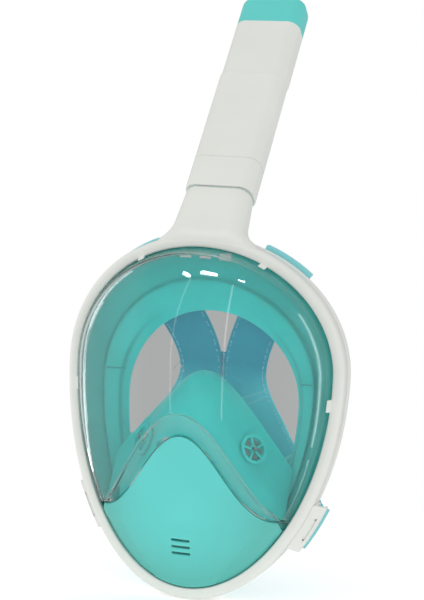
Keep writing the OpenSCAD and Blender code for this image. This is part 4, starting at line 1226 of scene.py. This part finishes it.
class MASK_OT_tube(bpy.types.Operator):
    """Finish the tube: gasket, latch, flaps, sleeve, tube, float valve and cap"""

    bl_idname = "mask.tube"
    bl_label = "Tube"

    def execute(self, context):
        for node, finish, bevel in (
            ("tube_latch", "white_abs", 0.4), ("tube_base", "white_abs", 0.5),
            ("snorkel_tube", "white_abs", 0.4), ("float_housing", "white_abs", 0.4),
            ("top_cap", "mint_abs", 0.3), ("float_cage", "teal_abs", 0.15),
            ("float_seat", "teal_abs", 0.15), ("float_left", "mint_abs", 0.3),
            ("float_right", "mint_abs", 0.3),
        ):
            dress(node, finish, bevel)
        g = shape_of(context)
        self.gasket(g)
        self.side_flaps(g)
        return {"FINISHED"}

    def gasket(self, g):
        """A flat seal with a rounded bead on the neck's shoulder, round the spigot"""
        outside = 1.2
        section = [(0.15, 0), (0.0, 0.25), (0.1, 0.6), (0.4, 0.78), (0.65, 0.8), (0.9, 0.7),
                   (1.0, 0.4), (0.9, 0.0)]
        rows = [g.tube_section(outside + inset, g.shoulder_s + up) for inset, up in section]
        make("gasket_seal", *looped(rows), "pale_silicone", "mask", ("tube_gasket",), sharp=60,
             slot="clear_silicone")

    def side_flaps(self, g):
        """Thin flaps over the side channels, each with a thick bead along the edge it turns on"""
        wide, deep, r = g.tube_w / 2 - 3.4, g.tube_dep / 2 - 3.4, g.tube_round - 3.3
        turn = np.radians(np.linspace(-90, 90, 25))
        edge = [(wide - r + r * math.cos(a), math.copysign(deep - r, a) + r * math.sin(a))
                for a in turn]
        outline = np.array([(g.hinge_x, -deep)] + edge + [(g.hinge_x, deep)])
        middle = outline.mean(0)
        rings = [(0.3, 0.0), (0.8, 0.0), (0.97, 0.05), (1.0, 0.3), (1.0, 0.6), (0.97, 0.85),
                 (0.8, 0.72), (0.3, 0.72)]
        bottom = g.hinge_s - 0.45
        sheet = np.array([(*mix(middle, q, k), bottom + h) for k, h in rings for q in outline])
        bead, more = turned([(0.3, -7.9), (0.45, -7.7), (0.45, 7.7), (0.3, 7.9)], 16)
        bead = np.stack([g.hinge_x + bead[:, 0], bead[:, 2], g.hinge_s + bead[:, 1]], 1)
        points, faces = joined(sheet, capped(len(rings), len(outline)), bead, more)
        for name, flip in SIDES:
            make(f"exhale_sheet_{name}", g.on_tube(*(points * flip).T), faces, "flap_silicone",
                 f"exhale_flap_{name}", (f"exhale_flap_{name}",), sharp=60, slot="clear_silicone")


class MASK_OT_clips(bpy.types.Operator):
    """Build the frame's strap pockets and finish the hooks"""

    bl_idname = "mask.clips"
    bl_label = "Clips and hooks"

    def execute(self, context):
        g = shape_of(context)
        for name, flip in SIDES:
            self.pocket(g, name, flip)
        for name, _ in SIDES:
            dress(f"lower_hook_{name}", "cyan_acetal", 0.5, 50)
            dress(f"upper_hook_{name}", "cyan_acetal", 0.8, 50)
        return {"FINISHED"}

    def pocket(self, g, name, flip):
        """A pocket whose front slopes back from the frame, with a groove and two pins"""
        out, near, slope, back, wall = 7.0, 5.0, 9.0, g.ring_d + 0.1, 1.6
        rear = near + slope
        rows = []
        for t in np.concatenate([[-47.5], np.linspace(-47.1, -33.4, 29), [-33]]):
            # The groove fades out at both ends
            deep = 0.9 * min(1, max(0, (3.9 - abs(t + 40.2)) / 0.5))
            front = [(0.04, 0), (0.3, 0), (0.56, 0), (0.58, deep), (0.76, deep), (0.78, 0),
                     (0.93, 0)]
            section = [(-0.08, back), (-0.08, near - 0.3)]
            section += [(-out * f, near + slope * f + low) for f, low in front]
            section += [(-out + 0.12, rear + 0.1), (-out, rear + 0.8), (-out, back - 0.3),
                        (-out + 0.3, back)]
            # The hollow behind the front
            section += [(wall - out, back), (wall - out, near + slope * 0.77 + 3),
                        (-wall - 0.15, near + slope * 0.25 + 3), (-wall - 0.15, back)]
            rows.append(np.stack([g.rim(t, n, d) for n, d in section]) * flip)
        rows = np.stack(rows)
        make(f"clip_pocket_{name}", rows.reshape(-1, 3), capped(*rows.shape[:2]), "white_abs",
             "mask", (f"lower_clip_{name}",), bevel=0.35, sharp=38, slot="white_plastic")
        facing = unit(np.array([slope, -out]))
        for k, t in enumerate((-36.9, -43.5)):
            place = g.rim(t, -out * 0.67, near + slope * 0.67 + 0.9)
            o = g.outward(t)
            look = np.array([o[0] * facing[0], facing[1], o[1] * facing[0]])
            points, more = turned(
                [(0.3, -0.5), (0.75, -0.4), (0.75, 0.25), (0.5, 0.5), (0.1, 0.56)], 20)
            make(f"clip_pin_{name}_{k + 1}", aim(points, place, look) * flip, more, "steel",
                 "mask", sharp=50)


class MASK_OT_strap(bpy.types.Operator):
    """Build the woven strap with its sewn patch, stitches and adjusters"""

    bl_idname = "mask.strap"
    bl_label = "Strap"

    def execute(self, context):
        g = shape_of(context)
        line, across, facing, turn = self.line(g)
        run = np.concatenate([[0], np.cumsum(np.linalg.norm(np.diff(line, axis=0), axis=1))])
        self.bands(g, line, across, facing, run)
        self.patch(g)
        self.stitches(g, line, across, facing, run)
        self.adjusters(g, turn, line[-1])
        return {"FINISHED"}

    def line(self, g):
        """The right band's middle line, its ways across and out, and where its lower arm begins"""
        w = g.web_w
        # The ends lie over the hooks, their play and half the webbing
        hook_gap, hook_t = 0.4, 4.0
        over = hook_gap + hook_t + g.web_t / 2 + 3 * g.fit
        top = g.rim(g.peg_a, 11.0, g.ring_d + over)
        low = g.rim(g.clip_a, 3.0, g.ring_d + g.fit + over)
        mid = np.array([w / 2 + g.web_t / 3, g.strap_y, g.strap_z])
        turn = np.array([34.0, 20.0, 2.0])

        def curve(a, b, c, d, count):
            f = np.linspace(0, 1, count)[:, None]
            return (1 - f) ** 3 * a + 3 * f * (1 - f) ** 2 * b + 3 * f * f * (1 - f) * c + f**3 * d

        to_mid = curve(top, top + w * np.array([-0.33, 0.4, -0.6]), mid + [0, 0, 0.8 * w], mid, 41)
        to_turn = curve(mid, mid - [0, 0, 0.53 * w], mix(turn, low, -0.15), turn, 31)
        arm = mix(turn, low, np.linspace(0, 1, 31)[:, None])
        line = np.concatenate([to_mid, to_turn[1:], arm[1:]])
        # The solids have 8 steps to the middle, 5 to the turn and 4 along the arm
        share = np.interp(np.arange(len(line)), [0, 40, 70, 100], [0, 8, 13, 17]) / 17

        def back(t):
            o = g.outward(t)
            return unit(np.cross([o[0], 0, o[1]], g.rim(t - 1, 0, 0) - g.rim(t + 1, 0, 0)))

        # Each end lies flat on its hook, and the rest faces the wearer's head
        flat = (1 - 2 * np.minimum(share, 1 - share))[:, None] ** 10
        ends = np.where(share[:, None] < 0.5, back(g.peg_a), back(g.clip_a))
        facing = mix(np.array([0.0, 1.0, 0.0]), ends, flat)
        across = unit(np.cross(unit(np.gradient(line, axis=0)), facing))
        return line, across, facing, turn

    def bands(self, g, line, across, facing, run):
        """The two bands of webbing, with rounded selvedges"""
        half, thick = g.web_w / 2, g.web_t / 2
        flat = 0.988 * np.linspace(-1, 1, 15)
        section = [(x, -1) for x in flat] + [(1.012, -0.4), (1.012, 0.4)]
        section += [(x, 1) for x in flat[::-1]] + [(-1.012, 0.4), (-1.012, -0.4)]
        rows = np.stack([line + across * x * half + facing * y * thick for x, y in section], 1)
        cloth = np.array([[x * half, along] for along in run for x, _ in section])
        # Painted light lightens the lower arms, and not the sewn middle
        stretch = np.interp(run / run[-1], [0.4, 0.52], [0, 1])
        for name, flip in SIDES:
            band = make(f"strap_webbing_{name}", rows.reshape(-1, 3) * flip,
                        capped(*rows.shape[:2]), "webbing", "harness", (f"strap_band_{name}",),
                        sharp=60, slot="blue_webbing")
            self.map_cloth(band, cloth)
            mark(band, "stretch", np.repeat(stretch, len(section)))

    def map_cloth(self, piece, places):
        """Writes each point's place on the cloth, in millimetres"""
        layer = piece.data.uv_layers.new(name="cloth")
        for loop in piece.data.loops:
            layer.data[loop.index].uv = places[loop.vertex_index]

    def patch(self, g):
        """The sewn patch behind the middle of the strap"""
        w, h, r = 23.0, 13.0, 4.0
        outline = []
        for x, y, start in ((w - r, h - r, 0), (r - w, h - r, 90), (r - w, r - h, 180),
                            (w - r, r - h, 270)):
            outline += arc(x, y, r, start, start + 90, 7)
        front = g.strap_y + g.web_t / 2 + g.fit
        rings = [(0.985, 0.0), (1.0, 0.4), (1.0, 1.1), (0.97, 1.55), (0.9, 1.6), (0.6, 1.6),
                 (0.3, 1.6)]
        points = [(x * k, front + d, g.strap_z + y * k) for k, d in rings for x, y in outline]
        piece = make("strap_patch_cloth", points, capped(len(rings), len(outline)), "webbing",
                     "harness", ("strap_patch",), sharp=60, slot="blue_webbing")
        self.map_cloth(piece, np.array([[x, z] for x, _, z in points]))

    def stitches(self, g, line, across, facing, run):
        """Rows of stitches: round the patch, along both bands' edges and across the lower turns"""
        # Place, way ahead and way out of each stitch
        spots = []
        y = g.strap_y + g.web_t / 2 + g.fit + 1.6
        for x in np.arange(-20, 20.1, 2.5):
            spots += [((x, y, g.strap_z + z), (1, 0, 0), (0, 1, 0)) for z in (-10.5, 10.5)]
        for z in np.arange(-8, 8.1, 2.5):
            spots += [((x, y, g.strap_z + z), (0, 0, 1), (0, 1, 0)) for x in (-20.5, 20.5)]

        def on_band(i, x, ahead, flip):
            for out in (-facing[i], facing[i]):
                p = line[i] + across[i] * x * g.web_w / 2 + out * g.web_t / 2
                spots.append((p * flip, ahead * flip, out * flip))

        for _, flip in SIDES:
            for x in (-0.86, 0.86):
                for i in np.searchsorted(run, np.arange(14, run[-1] - 10, 3.2)):
                    on_band(i, x, unit(line[min(i + 1, len(line) - 1)] - line[i - 1]), flip)
            for i in np.searchsorted(run, np.array([0.512, 0.537]) * run[-1]):
                for x in np.linspace(-0.8, 0.8, 12):
                    on_band(i, x, across[i], flip)
        points, faces = [], []
        for place, ahead, up in spots:
            place, ahead, up = (np.array(v, float) for v in (place, ahead, up))
            sideways = np.cross(ahead, up)
            faces += capped(4, 4, len(points))
            for a, wide, tall in ((-0.85, 0.12, 0.02), (-0.5, 0.24, 0.2), (0.5, 0.24, 0.2),
                                  (0.85, 0.12, 0.02)):
                points += [place + ahead * a + sideways * wide * sx + up * (tall * sz - 0.1)
                           for sx, sz in ((-1, 0), (-0.6, 1), (0.6, 1), (1, 0))]
        make("strap_stitching", points, faces, "thread", "harness", sharp=60)

    def adjusters(self, g, turn, low):
        """The loops that slide on the lower arms, with three grip ribs and rounded ends"""
        along = unit(low - turn)
        side = unit(np.cross(along, [0, 1, 0]))
        out = np.cross(side, along)
        middle = mix(turn, low, 0.42)
        half, rim, wall, room, r, pitch = 6.0, 3.5, 2.0, 0.4, 1.2, 3.4

        def loop(s, wide, deep, corner):
            x, y, _ = oblong(wide, deep, corner)
            return middle + along * s + np.outer(x, side) + np.outer(y, out)

        rows = []
        for s in np.linspace(-half, half, 49):
            over = max(0, abs(s) - half + r)
            ease = r - math.sqrt(max(0, r**2 - over**2))
            nearest = pitch * round(max(-1, min(1, s / pitch)))
            rib = max(0, math.cos(math.pi * (s - nearest) / 2.2))
            deep = g.web_t + 2 * (wall - 0.55 * (1 - rib) - 0.6 * ease)
            rows.append(loop(s, g.web_w + 2 * (rim - ease), deep, 1.9 - 0.4 * ease))
        for s in (half, half - 0.5, 0, 0.5 - half, -half):
            rows.append(loop(s, g.web_w + 3 * room, g.web_t + 2 * room, 0.4))
        points, faces = looped(rows)
        for name, flip in SIDES:
            make(f"strap_adjuster_{name}", points * flip, faces, "cyan_acetal", f"slider_{name}",
                 (f"strap_slider_{name}",), sharp=50, slot="cyan_plastic")


class MASK_PT_build(bpy.types.Panel):
    """The mask's sizes, colours and build steps"""

    bl_label = "Snorkel Mask"
    bl_idname = "MASK_PT_build"
    bl_space_type = "VIEW_3D"
    bl_region_type = "UI"
    bl_category = "Snorkel Mask"

    def draw(self, context):
        for operator in STEPS:
            self.layout.operator(operator.bl_idname)
        for group in (context.scene.mask_sizes, context.scene.mask_colours):
            box = self.layout.box()
            for name in group.__annotations__:
                box.prop(group, name)


STEPS = (MASK_OT_stage, MASK_OT_frame, MASK_OT_lens, MASK_OT_chin, MASK_OT_skirt, MASK_OT_nose_cup,
         MASK_OT_tube, MASK_OT_clips, MASK_OT_strap)
CLASSES = (MaskSizes, MaskColours, *STEPS, MASK_PT_build)


def register():
    """Adds the classes and the scene's own sizes and colours."""
    for cls in CLASSES:
        bpy.utils.register_class(cls)
    bpy.types.Scene.mask_sizes = PointerProperty(type=MaskSizes)
    bpy.types.Scene.mask_colours = PointerProperty(type=MaskColours)


def unregister():
    """Takes out what register added."""
    del bpy.types.Scene.mask_colours
    del bpy.types.Scene.mask_sizes
    for cls in reversed(CLASSES):
        bpy.utils.unregister_class(cls)


def main():
    """Builds the whole mask in order."""
    register()
    bpy.ops.mask.stage()
    bpy.ops.mask.frame()
    bpy.ops.mask.lens()
    bpy.ops.mask.chin()
    bpy.ops.mask.skirt()
    bpy.ops.mask.nose_cup()
    bpy.ops.mask.tube()
    bpy.ops.mask.clips()
    bpy.ops.mask.strap()


if __name__ == "__main__":
    main()
